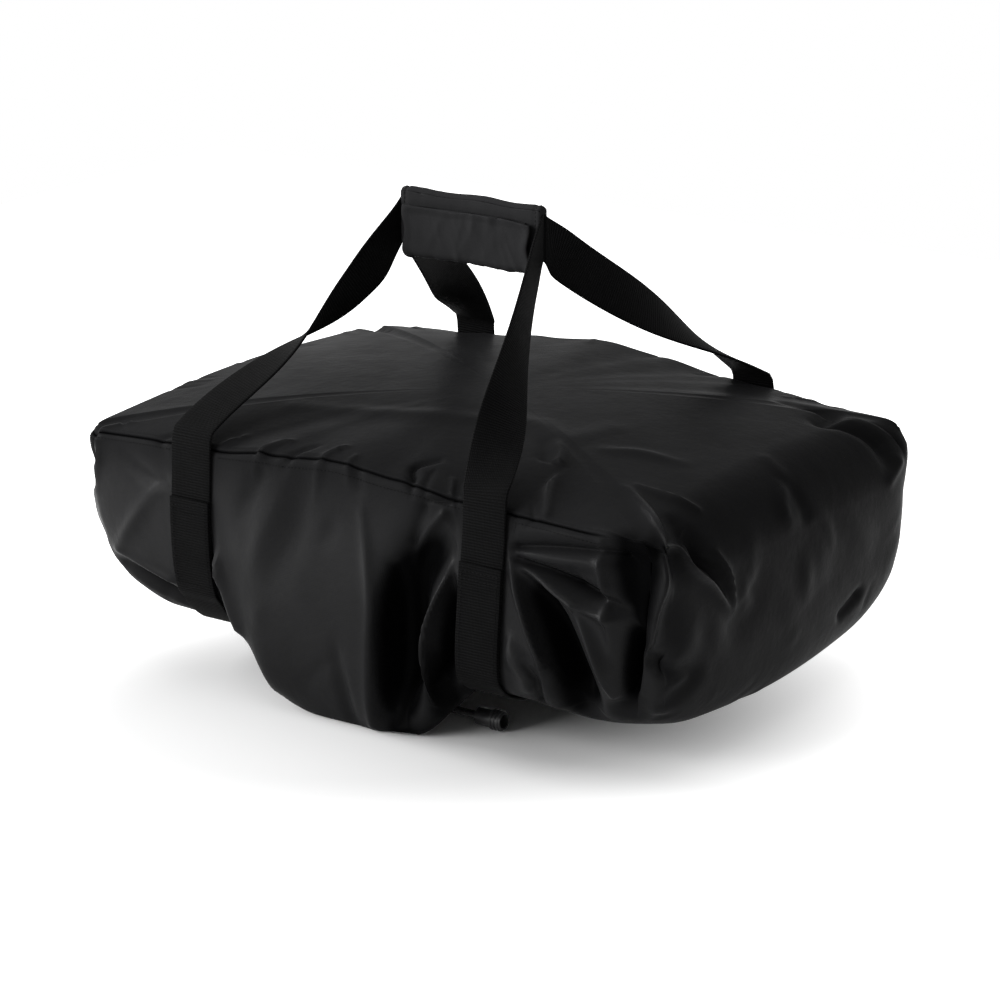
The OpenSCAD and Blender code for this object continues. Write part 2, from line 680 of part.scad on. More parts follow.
// In the leg's own frame the cross tube is along Z and the leg runs along X from its middle
leg_start = head_d / 2 + 2;
module leg_tube(k) {
    color("#2d2e31") packed_leg(k) translate([leg_start, 0, 0]) rotate([0, 90, 0]) difference() {
        cylinder(d = leg_d, h = leg_h - 3 - leg_start);
        translate([0, 0, -tiny]) cylinder(d = leg_d - 2 * leg_wall, h = leg_h);
    }
}
module leg_head(k) {
    web = rim_gap;
    bore = rim_d + 2 * slide_fit;
    color("#1f2022") packed_leg(k) difference() {
        union() {
            cylinder(d = head_d, h = head_l, center = true);
            rotate([0, 90, 0]) cylinder(d = leg_d + 5, h = leg_start + socket_l);
        }
        for (end = [0, 180]) rotate([end, 0, 0]) translate([0, 0, web / 2]) cylinder(d = bore, h = head_l);
        translate([leg_start, 0, 0]) rotate([0, 90, 0]) cylinder(d = leg_d + 2 * slide_fit, h = leg_h);
    }
}
module leg_foot(k) {
    color("#161617") packed_leg(k) translate([leg_h, 0, 0]) rotate([0, -90, 0]) difference() {
        rotate_extrude() polygon([
            [0, 0], [foot_d / 2 - 1, 0], [foot_d / 2, 1], [foot_d / 2, 7],
            [leg_d / 2 + 1.6, foot_l - 8], [leg_d / 2 + 1.6, foot_l], [0, foot_l]]);
        translate([0, 0, 3 - tiny]) cylinder(d = leg_d + 2 * slide_fit, h = foot_l);
    }
}

// Net folded back and forth beside the last leg, seen from its side, with its hooks along the back edge
net_x = -0.23 * rim_reach;
net_room = 10;
net_y = leg_y + (sections - 1) / 2 * leg_pitch + head_d / 2 + net_room;
net_layer = (ball_d - (net_folds - 1) * net_gap) / net_folds;
net_pitch = net_layer + net_gap;
net_turn = net_layer + net_gap / 2;
fold_steps = 8;
// Edge of the folded net on one side of its middle line
function net_edge(off) = [
    [net_turn - net_l, net_layer / 2 + off],
    for (k = [0:net_folds - 2]) let (way = k % 2 == 0 ? 1 : -1) for (j = [0:fold_steps])
        [way > 0 ? -net_turn : net_turn - net_l, net_layer / 2 + (k + 0.5) * net_pitch]
        + (net_pitch / 2 - way * off) * [way * sin(180 * j / fold_steps), -cos(180 * j / fold_steps)],
    let (way = net_folds % 2 == 0 ? -1 : 1)
        [way > 0 ? -net_turn : net_turn - net_l, net_layer / 2 + (net_folds - 1) * net_pitch + way * off]
];
module net() {
    color("#d8dadc") translate([net_x, net_y + net_w, floor_z + seat]) rotate([90, 0, 0])
        linear_extrude(net_w) polygon(concat(net_edge(net_layer / 2), backwards(net_edge(-net_layer / 2))));
}
module net_hooks() {
    hook_r = 5;
    per_layer = 4;
    color("#3c3d40") for (k = [0:net_folds - 1]) for (j = [0:per_layer - 1])
        translate([net_x - net_l * (j + 0.7) / (per_layer + 0.4), net_y + net_w,
                   floor_z + seat + k * net_pitch + net_layer / 2]) {
            rotate([-90, 0, 0]) cylinder(d = hook_d, h = 7, $fn = 16);
            translate([hook_r, 7, 0]) rotate_extrude(angle = 180, $fn = 32)
                translate([hook_r, 0]) circle(hook_d / 2, $fn = 16);
        }
}

// Balls carry the ring sections: two under the front stack, one under the back one
function bow_y(x) = rim_mid_y + ring_r - sqrt(ring_r * ring_r - x * x);
module ball(x, side) {
    color("#f4c81e") translate([x, side * bow_y(x), floor_z + seat + ball_d / 2]) sphere(d = ball_d);
}
// Places of the balls along the bag
ball_left = -0.57 * rim_reach;
ball_right = 0.45 * rim_reach;
module ball_1() {
    ball(ball_left, -1);
}
module ball_2() {
    ball(ball_right, -1);
}
module ball_3() {
    ball(ball_right, 1);
}

top_panel();
front_panel();
back_panel();
left_end_panel();
right_end_panel();
base_panel();
mouth_hem();
left_sling();
right_sling();
front_handle();
back_handle();
grip_wrap();
grip_flap();
hook_tape();
loop_tape();
drawcord();
cord_tail_left();
cord_tail_right();
cord_bell();
cord_knot();
cord_lock_barrel();
cord_lock_button();
cord_lock_spring();
for (k = [0:sections - 1]) {
    rim_section(k);
    leg_tube(k);
    leg_head(k);
    leg_foot(k);
}
net();
net_hooks();
ball_1();
ball_2();
ball_3();
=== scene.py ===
"""Looks of a roundnet set packed in its soft carry bag: cloth, webbing, grip, drawcord and the set inside."""

import json
import logging
import math
from dataclasses import dataclass, field
from enum import Enum

import bpy
import numpy as np
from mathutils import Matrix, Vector

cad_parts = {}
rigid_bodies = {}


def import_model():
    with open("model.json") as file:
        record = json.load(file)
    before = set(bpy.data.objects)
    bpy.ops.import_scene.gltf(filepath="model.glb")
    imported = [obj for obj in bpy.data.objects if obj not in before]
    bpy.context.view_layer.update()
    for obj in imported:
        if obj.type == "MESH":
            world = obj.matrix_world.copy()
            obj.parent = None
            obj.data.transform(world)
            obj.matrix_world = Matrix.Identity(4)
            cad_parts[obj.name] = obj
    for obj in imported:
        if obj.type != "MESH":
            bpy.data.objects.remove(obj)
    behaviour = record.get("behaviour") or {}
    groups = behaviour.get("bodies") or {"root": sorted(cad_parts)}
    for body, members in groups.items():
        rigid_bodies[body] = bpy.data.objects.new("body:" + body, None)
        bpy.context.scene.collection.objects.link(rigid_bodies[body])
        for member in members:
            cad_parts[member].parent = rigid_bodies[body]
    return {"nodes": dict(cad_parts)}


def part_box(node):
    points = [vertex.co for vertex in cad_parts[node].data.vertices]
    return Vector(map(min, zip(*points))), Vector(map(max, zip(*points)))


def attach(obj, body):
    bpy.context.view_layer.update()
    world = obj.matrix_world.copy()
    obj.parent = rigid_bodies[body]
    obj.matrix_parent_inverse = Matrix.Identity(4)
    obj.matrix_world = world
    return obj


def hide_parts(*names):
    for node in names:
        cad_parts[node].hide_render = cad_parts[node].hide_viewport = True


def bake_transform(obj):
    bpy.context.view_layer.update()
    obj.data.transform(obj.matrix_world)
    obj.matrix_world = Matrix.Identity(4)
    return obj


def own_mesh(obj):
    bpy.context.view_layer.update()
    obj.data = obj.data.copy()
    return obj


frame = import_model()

logging.basicConfig(level=logging.INFO, format="%(message)s")
LOG = logging.getLogger("bag")
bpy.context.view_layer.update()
MM = 0.001
STATIONS = 58.0
BASE_STEP = 12.0
WHITE = (1.0, 1.0, 1.0, 1.0)
Array = np.ndarray


class Side(Enum):
    """Long side of the bag, as the sign of its Y."""

    FRONT = -1
    BACK = 1


def corners_mm(node: str) -> tuple[Array, Array]:
    """Box of a frame node in millimetres."""
    low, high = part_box(node)
    return np.array(low) / MM, np.array(high) / MM


def middle_mm(node: str) -> Array:
    """Middle of a frame node's box in millimetres."""
    low, high = corners_mm(node)
    return (low + high) / 2


def ease(s: Array) -> Array:
    """Smooth step from 0 to 1."""
    s = np.clip(s, 0.0, 1.0)
    return s * s * (3.0 - 2.0 * s)


def window(s: Array, start: float, rise: float, end: float, fall: float) -> Array:
    """Share that eases in after one place and out before another."""
    return ease((s - start) / rise) * ease((end - s) / fall)


def unit(v: Array) -> Array:
    """Vectors of length one."""
    return v / np.maximum(np.linalg.norm(v, axis=-1, keepdims=True), 1e-9)


def paired(t: Array, w: Array) -> list:
    """Stations and steps as arrays of one shape."""
    return np.broadcast_arrays(np.asarray(t, float), np.asarray(w, float))


def run_along(line: Array) -> Array:
    """Length along a line."""
    return np.concatenate([[0.0], np.cumsum(np.linalg.norm(np.diff(line, axis=0), axis=1))])


def between(a: Array, b: Array, c: Array, d: Array, s: Array) -> Array:
    """Smooth curve from one point to the next one."""
    slope, bow, twist = c - a, 2 * a - 5 * b + 4 * c - d, 3 * b - a - 3 * c + d
    return b + slope * s / 2 + bow * s**2 / 2 + twist * s**3 / 2


def smooth_line(points: Array, count: int) -> Array:
    """Smooth curve through points, evenly spaced along its length.

    Args:
        points: Points to pass through.
        count: Number of points to return.

    Returns:
        The points of the curve.
    """
    p = np.vstack([2 * points[0] - points[1], points, 2 * points[-1] - points[-2]])
    s = np.linspace(0.0, 1.0, 24, endpoint=False)[:, None]
    fine = np.vstack([between(*p[k : k + 4], s) for k in range(len(p) - 3)] + [p[-2]])
    run = run_along(fine)
    at = np.linspace(0.0, run[-1], count)
    return np.stack([np.interp(at, run, fine[:, k]) for k in range(3)], axis=1)


def linked(name: str, data: bpy.types.ID) -> bpy.types.Object:
    """New object at the origin of the scene.

    Args:
        name: Name of the object.
        data: Its mesh, lamp or camera.

    Returns:
        The object.
    """
    obj = bpy.data.objects.new(name, data)
    bpy.context.scene.collection.objects.link(obj)
    return obj


def mesh_object(
    name: str,
    points_mm: Array,
    faces: list,
    material: bpy.types.Material,
    uv: list | None = None,
) -> bpy.types.Object:
    """New smoothly shaded mesh object at the origin.

    Args:
        name: Name of the piece.
        points_mm: Vertices in millimetres.
        faces: Vertex numbers of each face.
        material: Its finish.
        uv: Places in metres for each face corner, in face order.

    Returns:
        The linked object.
    """
    mesh = bpy.data.meshes.new(name)
    mesh.from_pydata((np.asarray(points_mm) * MM).tolist(), [], faces)
    mesh.validate()
    if uv is not None:
        layer = mesh.uv_layers.new(name="UVMap")
        layer.data.foreach_set("uv", np.asarray(uv, dtype=np.float32).ravel())
    mesh.polygons.foreach_set("use_smooth", [True] * len(mesh.polygons))
    mesh.materials.append(material)
    LOG.info("%s: %d vertices, %d faces", name, len(mesh.vertices), len(mesh.polygons))
    return linked(name, mesh)


def grid_faces(rows: int, columns: int, closed: bool) -> list:
    """Quads of a grid stored row by row.

    Args:
        rows: Number of rows.
        columns: Number of columns.
        closed: Whether the last column joins the first one.

    Returns:
        Vertex numbers of the quads.
    """
    faces = []
    for r in range(rows - 1):
        for c in range(columns if closed else columns - 1):
            d = (c + 1) % columns
            faces.append((r * columns + c, (r + 1) * columns + c, (r + 1) * columns + d, r * columns + d))
    return faces


def grid_uv(u: Array, v: Array) -> list:
    """Places of a closed grid's quads, in the order of grid_faces.

    Args:
        u: Place of each column, and of the first one again at the end.
        v: Place of each row.

    Returns:
        One pair for each corner of each quad.
    """
    spots = []
    for r in range(len(v) - 1):
        for c in range(len(u) - 1):
            spots += [(u[c], v[r]), (u[c], v[r + 1]), (u[c + 1], v[r + 1]), (u[c + 1], v[r])]
    return spots


def sleeve(
    name: str, rings: Array, around: Array, run: Array, finish: bpy.types.Material, closed: bool = False
) -> bpy.types.Object:
    """Skin over a row of rings, with flat ends or joined to a loop.

    Args:
        name: Name of the piece.
        rings: Points in millimetres, by ring and place around it.
        around: Places around a ring in millimetres, and the first one again at the end.
        run: Places of the rings in millimetres.
        finish: Its material.
        closed: Whether the last ring joins the first one.

    Returns:
        The piece.
    """
    n, m = rings.shape[:2]
    faces = grid_faces(n, m, True)
    spots = [(along, across) for across, along in grid_uv(around * MM, run * MM)]
    last = (n - 1) * m
    if closed:
        faces += [(last + k, k, (k + 1) % m, last + (k + 1) % m) for k in range(m)]
    else:
        faces += [tuple(range(m)), tuple(range(last, n * m))[::-1]]
    spots += [(0.0, 0.0)] * (4 * m if closed else 2 * m)
    return mesh_object(name, rings.reshape(-1, 3), faces, finish, spots)


class NodeBench:
    """Small helper that adds shader nodes and links them."""

    def __init__(self, name: str) -> None:
        """Starts an empty material.

        Args:
            name: Name of the material.
        """
        self.material = bpy.data.materials.new(name)
        self.material.use_nodes = True
        self.tree = self.material.node_tree
        self.tree.nodes.clear()
        self.body = self.add("ShaderNodeBsdfPrincipled")
        self.link(self.body, self.add("ShaderNodeOutputMaterial"), "Surface")

    def add(self, kind: str, **settings: object) -> bpy.types.Node:
        """Adds a node.

        Args:
            kind: Type of the node.
            **settings: Attributes, or inputs where the node has no such attribute.

        Returns:
            The node.
        """
        node = self.tree.nodes.new(kind)
        for key, value in settings.items():
            if hasattr(node, key):
                setattr(node, key, value)
            else:
                node.inputs[key.replace("_", " ").title()].default_value = value
        return node

    def link(self, source: object, node: bpy.types.Node, into: str | int) -> None:
        """Links two nodes."""
        output = source.outputs[0] if isinstance(source, bpy.types.Node) else source
        self.tree.links.new(output, node.inputs[into])

    def place(self, kind: str) -> bpy.types.NodeSocket:
        """Adds texture coordinates."""
        return self.add("ShaderNodeTexCoord").outputs[kind]

    def share(self, name: str) -> bpy.types.NodeSocket:
        """Adds a share that is stored on the mesh."""
        return self.add("ShaderNodeAttribute", attribute_name=name).outputs["Fac"]

    def math(self, kind: str, *values: object) -> bpy.types.Node:
        """Adds a calculation.

        Args:
            kind: Operation.
            *values: Numbers, outputs or nodes.

        Returns:
            The node.
        """
        node = self.add("ShaderNodeMath", operation=kind)
        for k, value in enumerate(values):
            if isinstance(value, (int, float)):
                node.inputs[k].default_value = value
            else:
                self.link(value, node, k)
        return node

    def noise(self, scale: float, detail: float) -> bpy.types.Node:
        """Adds a noise texture.

        Args:
            scale: Features per metre.
            detail: Octaves.

        Returns:
            The texture node.
        """
        node = self.add("ShaderNodeTexNoise", scale=scale, detail=detail)
        self.link(self.place("Object"), node, "Vector")
        return node

    def bands(self, period_mm: float, axis: str) -> bpy.types.Node:
        """Adds parallel bands.

        Args:
            period_mm: Distance from band to band.
            axis: X, Y, Z or DIAGONAL.

        Returns:
            The texture node.
        """
        turn_per_metre = 20
        scale = 2 * math.pi / (turn_per_metre * period_mm * MM)
        node = self.add("ShaderNodeTexWave", bands_direction=axis, scale=scale, distortion=0.0)
        self.link(self.place("UV"), node, "Vector")
        return node

    def ramp(
        self, source: bpy.types.Node, low: tuple, high: tuple, start: float, end: float
    ) -> bpy.types.Node:
        """Adds a colour ramp.

        Args:
            source: Node that gives the value.
            low: First colour.
            high: Last colour.
            start: Place of the first colour.
            end: Place of the last colour.

        Returns:
            The ramp.
        """
        node = self.add("ShaderNodeValToRGB")
        first, last = node.color_ramp.elements
        first.position, last.position = start, end
        first.color, last.color = (*low, 1.0), (*high, 1.0)
        self.link(source, node, "Fac")
        return node

    def bump(
        self, source: bpy.types.Node, depth_mm: float, strength: float, after: bpy.types.Node | None = None
    ) -> bpy.types.Node:
        """Adds a bump.

        Args:
            source: Node that gives the height.
            depth_mm: Depth of the relief.
            strength: Its strength.
            after: Bump that comes before it.

        Returns:
            The bump node.
        """
        node = self.add("ShaderNodeBump", distance=depth_mm * MM, strength=strength)
        self.link(source, node, "Height")
        if after is not None:
            self.link(after, node, "Normal")
        return node

    def set(self, **values: object) -> None:
        """Sets constants on the shader's own inputs."""
        for key, value in values.items():
            self.body.inputs[key.replace("_", " ")].default_value = value

    def feed(self, **sources: object) -> None:
        """Links the shader's own inputs."""
        for key, source in sources.items():
            self.link(source, self.body, key.replace("_", " "))


def seen_rays(tree: bpy.types.NodeTree) -> bpy.types.NodeSocket:
    """Adds a switch for the rays that show a thing directly, mirrored or through another one.

    Args:
        tree: Node tree of a material or of the world.

    Returns:
        Output that is 1 for these rays.
    """
    path = tree.nodes.new("ShaderNodeLightPath")
    seen = path.outputs["Is Camera Ray"]
    for ray in ("Is Glossy Ray", "Is Transmission Ray"):
        either = tree.nodes.new("ShaderNodeMath")
        either.operation = "MAXIMUM"
        tree.links.new(seen, either.inputs[0])
        tree.links.new(path.outputs[ray], either.inputs[1])
        seen = either.outputs[0]
    return seen


def grey(level: float) -> tuple:
    """Dark neutral colour with a slight blue tint."""
    return level, level, level * 1.04


@dataclass(frozen=True)
class Finish:
    """Finish of a piece, by name."""

    name: str

    def paint(self, b: NodeBench) -> None:
        """Lays out the shader's nodes."""
        raise NotImplementedError

    def material(self) -> bpy.types.Material:
        """Builds the material.

        Returns:
            The material.
        """
        b = NodeBench(self.name)
        self.paint(b)
        return b.material


@dataclass(frozen=True)
class Nylon(Finish):
    """Plain-woven nylon with a soft sheen and a slightly uneven dye."""

    level: float
    weave_mm: float = 1.1
    sheen: float = 0.004
    roughness: float = 0.38
    shine: float = 0.05

    def paint(self, b: NodeBench) -> None:
        """Lays out dye, painted shade in creases, weave and the shine of slack cloth.

        Args:
            b: Bench with the new shader.
        """
        # Painted shade: the colour is multiplied down to 0.14 of itself where the share stored on the mesh
        # says a place lies deep in a crease or a fold's pocket.
        painted_shade_mix = b.add("ShaderNodeMix", data_type="RGBA", blend_type="MULTIPLY")
        factor, colour, other, mixed = 0, 6, 7, 2
        painted_shade_mix.inputs[other].default_value = (*grey(0.14), 1.0)
        b.link(b.share("crease_shade"), painted_shade_mix, factor)
        tone = b.ramp(b.noise(9.0, 5.0), grey(self.level * 0.78), grey(self.level * 1.22), 0.32, 0.68)
        b.link(tone, painted_shade_mix, colour)
        weave = b.math("MULTIPLY", b.bands(self.weave_mm, "X"), b.bands(self.weave_mm, "Y"))
        broad = b.bump(b.noise(48.0, 4.0), 1.6, 0.3)
        soft = b.bump(b.noise(170.0, 3.0), 0.5, 0.4, broad)
        b.feed(
            Base_Color=painted_shade_mix.outputs[mixed],
            Roughness=b.math("MULTIPLY_ADD", b.noise(30.0, 4.0), 0.16, self.roughness - 0.08),
            Normal=b.bump(weave, 0.10, 0.4, soft),
            Specular_IOR_Level=b.math("MULTIPLY_ADD", b.share("slack"), self.shine, 0.006),
        )
        b.set(Sheen_Weight=self.sheen, Sheen_Roughness=0.4, Sheen_Tint=(0.8, 0.82, 0.86, 1.0))


@dataclass(frozen=True)
class Webbing(Finish):
    """Ribbed woven webbing with crosswise ribs and a lengthwise twill."""

    level: float
    rib_mm: float = 2.3
    twill_mm: float = 1.4

    def paint(self, b: NodeBench) -> None:
        """Lays out ribs and twill.

        Args:
            b: Bench with the new shader.
        """
        ribs = b.bands(self.rib_mm, "X")
        dye = b.math("MULTIPLY", ribs, b.noise(40.0, 4.0))
        relief = b.math("ADD", ribs, b.math("MULTIPLY", b.bands(self.twill_mm, "Y"), 0.4))
        b.feed(
            Base_Color=b.ramp(dye, grey(self.level * 0.5), grey(self.level * 1.7), 0.1, 0.6),
            Normal=b.bump(relief, 0.5, 0.7),
        )
        b.set(Roughness=0.7, Sheen_Weight=0.002, Specular_IOR_Level=0.03)


@dataclass(frozen=True)
class Pile(Finish):
    """Hook or loop pile of a closing tape."""

    level: float
    loops_per_m: float = 900.0

    def paint(self, b: NodeBench) -> None:
        """Lays out the loops.

        Args:
            b: Bench with the new shader.
        """
        loops = b.add("ShaderNodeTexVoronoi", scale=self.loops_per_m)
        b.link(b.place("Object"), loops, "Vector")
        b.feed(
            Base_Color=b.ramp(loops, grey(self.level * 1.6), grey(self.level * 0.5), 0.1, 0.7),
            Normal=b.bump(loops, 0.4, 0.9),
        )
        b.set(Roughness=0.85, Sheen_Weight=0.02, Specular_IOR_Level=0.1)


@dataclass(frozen=True)
class Braid(Finish):
    """Braided cord."""

    level: float

    def paint(self, b: NodeBench) -> None:
        """Lays out the braid.

        Args:
            b: Bench with the new shader.
        """
        weave = b.math("MULTIPLY", b.bands(1.6, "DIAGONAL"), b.bands(1.3, "Y"))
        b.feed(
            Base_Color=b.ramp(weave, grey(self.level * 0.6), grey(self.level * 1.5), 0.1, 0.8),
            Normal=b.bump(weave, 0.4, 0.8),
        )
        b.set(Roughness=0.7, Sheen_Weight=0.1)


@dataclass(frozen=True)
class Moulded(Finish):
    """Moulded plastic or rubber with a fine texture and scuffs."""

    colour: tuple
    roughness: float
    grain_per_m: float = 700.0
    grain_mm: float = 0.12
    specular: float = 0.5

    def paint(self, b: NodeBench) -> None:
        """Lays out tone, scuffs and grain.

        Args:
            b: Bench with the new shader.
        """
        dark = tuple(0.82 * c for c in self.colour)
        light = tuple(min(1.0, 1.12 * c) for c in self.colour)
        b.feed(
            Base_Color=b.ramp(b.noise(24.0, 6.0), dark, light, 0.35, 0.7),
            Roughness=b.math("MULTIPLY_ADD", b.noise(60.0, 8.0), 0.3, self.roughness - 0.15),
            Normal=b.bump(b.noise(self.grain_per_m, 2.0), self.grain_mm, 0.5),
        )
        b.set(Specular_IOR_Level=self.specular)


@dataclass(frozen=True)
class Wire(Finish):
    """Drawn steel wire."""

    dark: tuple = (0.45, 0.45, 0.46)
    light: tuple = (0.6, 0.6, 0.61)

    def paint(self, b: NodeBench) -> None:
        """Lays out the steel with its fine drawing marks.

        Args:
            b: Bench with the new shader.
        """
        b.feed(
            Base_Color=b.ramp(b.noise(300.0, 3.0), self.dark, self.light, 0.3, 0.7),
            Normal=b.bump(b.noise(2500.0, 1.0), 0.02, 0.4),
        )
        b.set(Metallic=1.0, Roughness=0.32)


@dataclass
class BagSurface:
    """The bag's resting surface, by station around it and step down it.

    Steps run from the crown (-1) over the seam (0) to the base (12). Stations 0 to 15 are on the front,
    19 to 25 on the right end, 29 to 44 on the back, 48 to 54 on the left end, and corners between them.
    """

    half_l: float
    half_w: float
    corner_r: float
    base_right: float
    base_half_w: float
    base_r: float
    corner_z: float
    base_z: float
    crown_h: float
    sling_left: float
    sling_right: float
    web_half: float
    flat_depth: float = 7.0
    seam_r: float = 9.0
    end_extra_r: float = 37.0
    crown_power: float = 2.2
    turn_reach: float = 18.0
    shapes: list = field(init=False)

    def __post_init__(self) -> None:
        """Sets the wall shapes around the bag."""
        self.base_left = self.web_half - self.sling_left + self.base_r + 8
        left_sling = (-0.06, 0.62, 0.06, 38, 0.52, 6)
        right_sling = (-0.12, 0.60, -0.16, 26, 0.32, 4)
        lobe = (-0.20, 0.45, -0.20, -20, 0.26, -self.base_z - self.flat_depth)
        right_lobe = (-0.06, 0.55, 0.12, 20, 0.66, -10)
        front_right = (0.00, 0.55, 0.22, 26, 0.70, -8)
        right = (-0.10, 0.52, -0.02, 14, 0.42, -16)
        back_right = (-0.04, 0.55, 0.12, 34, 0.60, -8)
        left_corner = (-0.03, 0.66, 0.18, 44, 0.60, 8)
        left = (-0.10, 0.60, 0.10, 38, 0.56, 4)
        self.shapes = [
            (-2, 0, left_corner),
            (2, 7, left_sling),
            (4, 8, left_sling),
            (5.4, 15, lobe),
            (7, 20, lobe),
            (8.4, 15, lobe),
            (10, 8, right_sling),
            (12, 6, right_sling),
            (14, 3, right_lobe),
            (17, 0, front_right),
            (22, 10, right),
            (27, 0, back_right),
            (30, 4, right_lobe),
            (32, 12, right_sling),
            (34, 15, right_sling),
            (35.6, 24, lobe),
            (37, 30, lobe),
            (38.6, 24, lobe),
            (40, 17, left_sling),
            (42, 13, left_sling),
            (46, 0, left_corner),
            (51, 13, left),
            (56, 0, left_corner),
        ]

    def side_x(self, left: float, right: float, radius: float) -> list:
        """X of the stations along a long side.

        Args:
            left: Reach to the left.
            right: Reach to the right.
            radius: Corner radius.

        Returns:
            Sixteen places from left to right.
        """
        a, b = self.sling_left - self.web_half, self.sling_left + self.web_half
        c, d = self.sling_right - self.web_half, self.sling_right + self.web_half
        xs = list(np.linspace(radius - left, a, 2, endpoint=False)) + [a, self.sling_left]
        xs += list(np.linspace(b, c, 6, endpoint=False)) + [c, self.sling_right]
        return xs + list(np.linspace(d, right - radius, 3, endpoint=False)) + [right - radius]

    def outline(self, t: Array, left: float, right: float, half: float, radius: float) -> Array:
        """Rounded rectangle with the bag's stations.

        Args:
            t: Stations.
            left: Reach to the left.
            right: Reach to the right.
            half: Half width.
            radius: Corner radius.

        Returns:
            X and Y of the stations.
        """
        t = np.mod(t, STATIONS)
        xs = self.side_x(left, right, radius)
        x, y = np.zeros_like(t), np.zeros_like(t)
        span = 2 * (half - radius)
        for start, cx, cy, turn in (
            (15, right - radius, radius - half, -90),
            (25, right - radius, half - radius, 0),
            (44, radius - left, half - radius, 90),
            (54, radius - left, radius - half, 180),
        ):
            m = (t > start) & (t <= start + 4)
            a = np.radians(turn + 22.5 * (t[m] - start))
            x[m], y[m] = cx + radius * np.cos(a), cy + radius * np.sin(a)
        m = t <= 15
        x[m], y[m] = np.interp(t[m], np.arange(16), xs), -half
        m = (t > 19) & (t <= 25)
        x[m], y[m] = right, radius - half + span * (t[m] - 19) / 6
        m = (t > 29) & (t <= 44)
        x[m], y[m] = np.interp(44 - t[m], np.arange(16), xs), half
        m = (t > 48) & (t <= 54)
        x[m], y[m] = -left, half - radius - span * (t[m] - 48) / 6
        return np.stack([x, y], -1)

    def shape(self, t: Array) -> Array:
        """Seam's rise and wall shape at stations.

        Args:
            t: Stations.

        Returns:
            Seven numbers for each station.
        """
        t = np.mod(t + 2.0, STATIONS) - 2.0
        out = np.zeros(t.shape + (7,))
        for a, b in zip(self.shapes[:-1], self.shapes[1:]):
            m = (t >= a[0]) & (t <= b[0])
            s = ease((t[m] - a[0]) / (b[0] - a[0]))[..., None]
            va, vb = np.array([a[1], *a[2]], float), np.array([b[1], *b[2]], float)
            out[m] = va + (vb - va) * s
        return out

    def point(self, t: Array, w: Array) -> Array:
        """Places on the surface.

        Args:
            t: Stations.
            w: Steps.

        Returns:
            Points in millimetres.
        """
        t, w = paired(t, w)
        s = self.shape(t)
        seam = self.outline(t, self.half_l, self.half_l, self.half_w, self.corner_r)
        base = self.outline(t, self.base_left, self.base_right, self.base_half_w, self.base_r)
        share = np.clip(1 + w, 0, 1)
        top_z, edge_z = self.corner_z + self.crown_h, self.corner_z + s[..., 0]
        crown = top_z - (top_z - edge_z) * share**self.crown_power
        top = np.concatenate([seam * share[..., None], crown[..., None]], -1)
        zero, one = np.zeros_like(t), np.ones_like(t)
        p0 = np.stack([zero, edge_z], -1)
        p1 = np.stack([s[..., 1], self.base_z + (self.corner_z - self.base_z) * s[..., 2]], -1)
        p2 = np.stack([s[..., 3], self.base_z + s[..., 4]], -1)
        p3 = np.stack([s[..., 5], self.base_z + s[..., 6]], -1)
        p4 = np.stack([one, self.base_z * one], -1)
        p5 = np.stack([2 - s[..., 5], self.base_z + s[..., 6]], -1)
        line = np.stack([2 * p0 - p1, p0, p1, p2, p3, p4, p5], -2)
        wc = np.clip(w, 0, BASE_STEP)
        q = np.minimum(np.floor(wc / 3), 3).astype(int)
        u = (wc / 3 - q)[..., None]
        near = [np.take_along_axis(line, (q + k)[..., None, None], axis=-2)[..., 0, :] for k in range(4)]
        kz = between(*near, u)
        wall = np.concatenate([seam + (base - seam) * kz[..., :1], np.maximum(kz[..., 1:], 0)], -1)
        return np.where((w < 0)[..., None], top, wall)

    def normal(self, t: Array, w: Array) -> Array:
        """Outward directions of the walls and the top.

        Args:
            t: Stations.
            w: Steps.

        Returns:
            Unit vectors.
        """
        t, w = paired(t, w)
        low = np.where(w < 0, -1.0, 0.0)
        high = np.where(w < 0, -1e-6, BASE_STEP)
        d = np.where(w < 0, 0.02, 0.15)
        dw = self.point(t, np.minimum(w + d, high)) - self.point(t, np.maximum(w - d, low))
        dt = self.point(t + 0.2, w) - self.point(t - 0.2, w)
        return unit(np.cross(dw, dt))

    def edge_radius(self, t: Array) -> Array:
        """Radius with which the top rolls over into the walls."""
        t = np.mod(t, STATIONS)
        return self.seam_r + self.end_extra_r * window(t, 14.5, 5.0, 30.0, 5.0)

    def outward(self, t: Array, w: Array) -> Array:
        """Outward directions that turn evenly over the top's edge.

        Args:
            t: Stations.
            w: Steps.

        Returns:
            Unit vectors.
        """
        t, w = paired(t, w)
        plain = self.normal(t, w)
        seam = unit(self.normal(t, -1e-6 + 0 * w) + self.normal(t, 0 * w))
        gap = np.linalg.norm(self.point(t, w) - self.point(t, 0 * w), axis=-1)
        share = ease(1.0 - gap / np.maximum(self.turn_reach, self.edge_radius(t)))[..., None]
        return unit(plain * (1 - share) + seam * share)

    def soft_point(self, t: Array, w: Array) -> Array:
        """Places on the surface with the top's edge rounded.

        Args:
            t: Stations.
            w: Steps.

        Returns:
            Points in millimetres.
        """
        t, w = paired(t, w)
        points = self.point(t, w)
        over, aside = self.normal(t, -1e-6 + 0 * w), self.normal(t, 0 * w)
        gap = np.linalg.norm(points - self.point(t, 0 * w), axis=-1)
        r = self.edge_radius(t)
        lean = np.clip((over * aside).sum(-1), -0.9, 0.95)
        half = np.arccos(lean) / 2
        arc = r / np.tan(half)
        turn = (1.0 - np.clip(gap / r, 0, 1)) * half
        along = np.where(gap < r, r - arc * np.sin(turn) - gap, 0.0)[..., None]
        deep = (arc - arc * np.cos(turn))[..., None]
        on_top = (w < 0)[..., None]
        face = np.where(on_top, over, aside)
        way = unit(np.where(on_top, aside, over) - face * lean[..., None])
        return points - way * along - face * deep


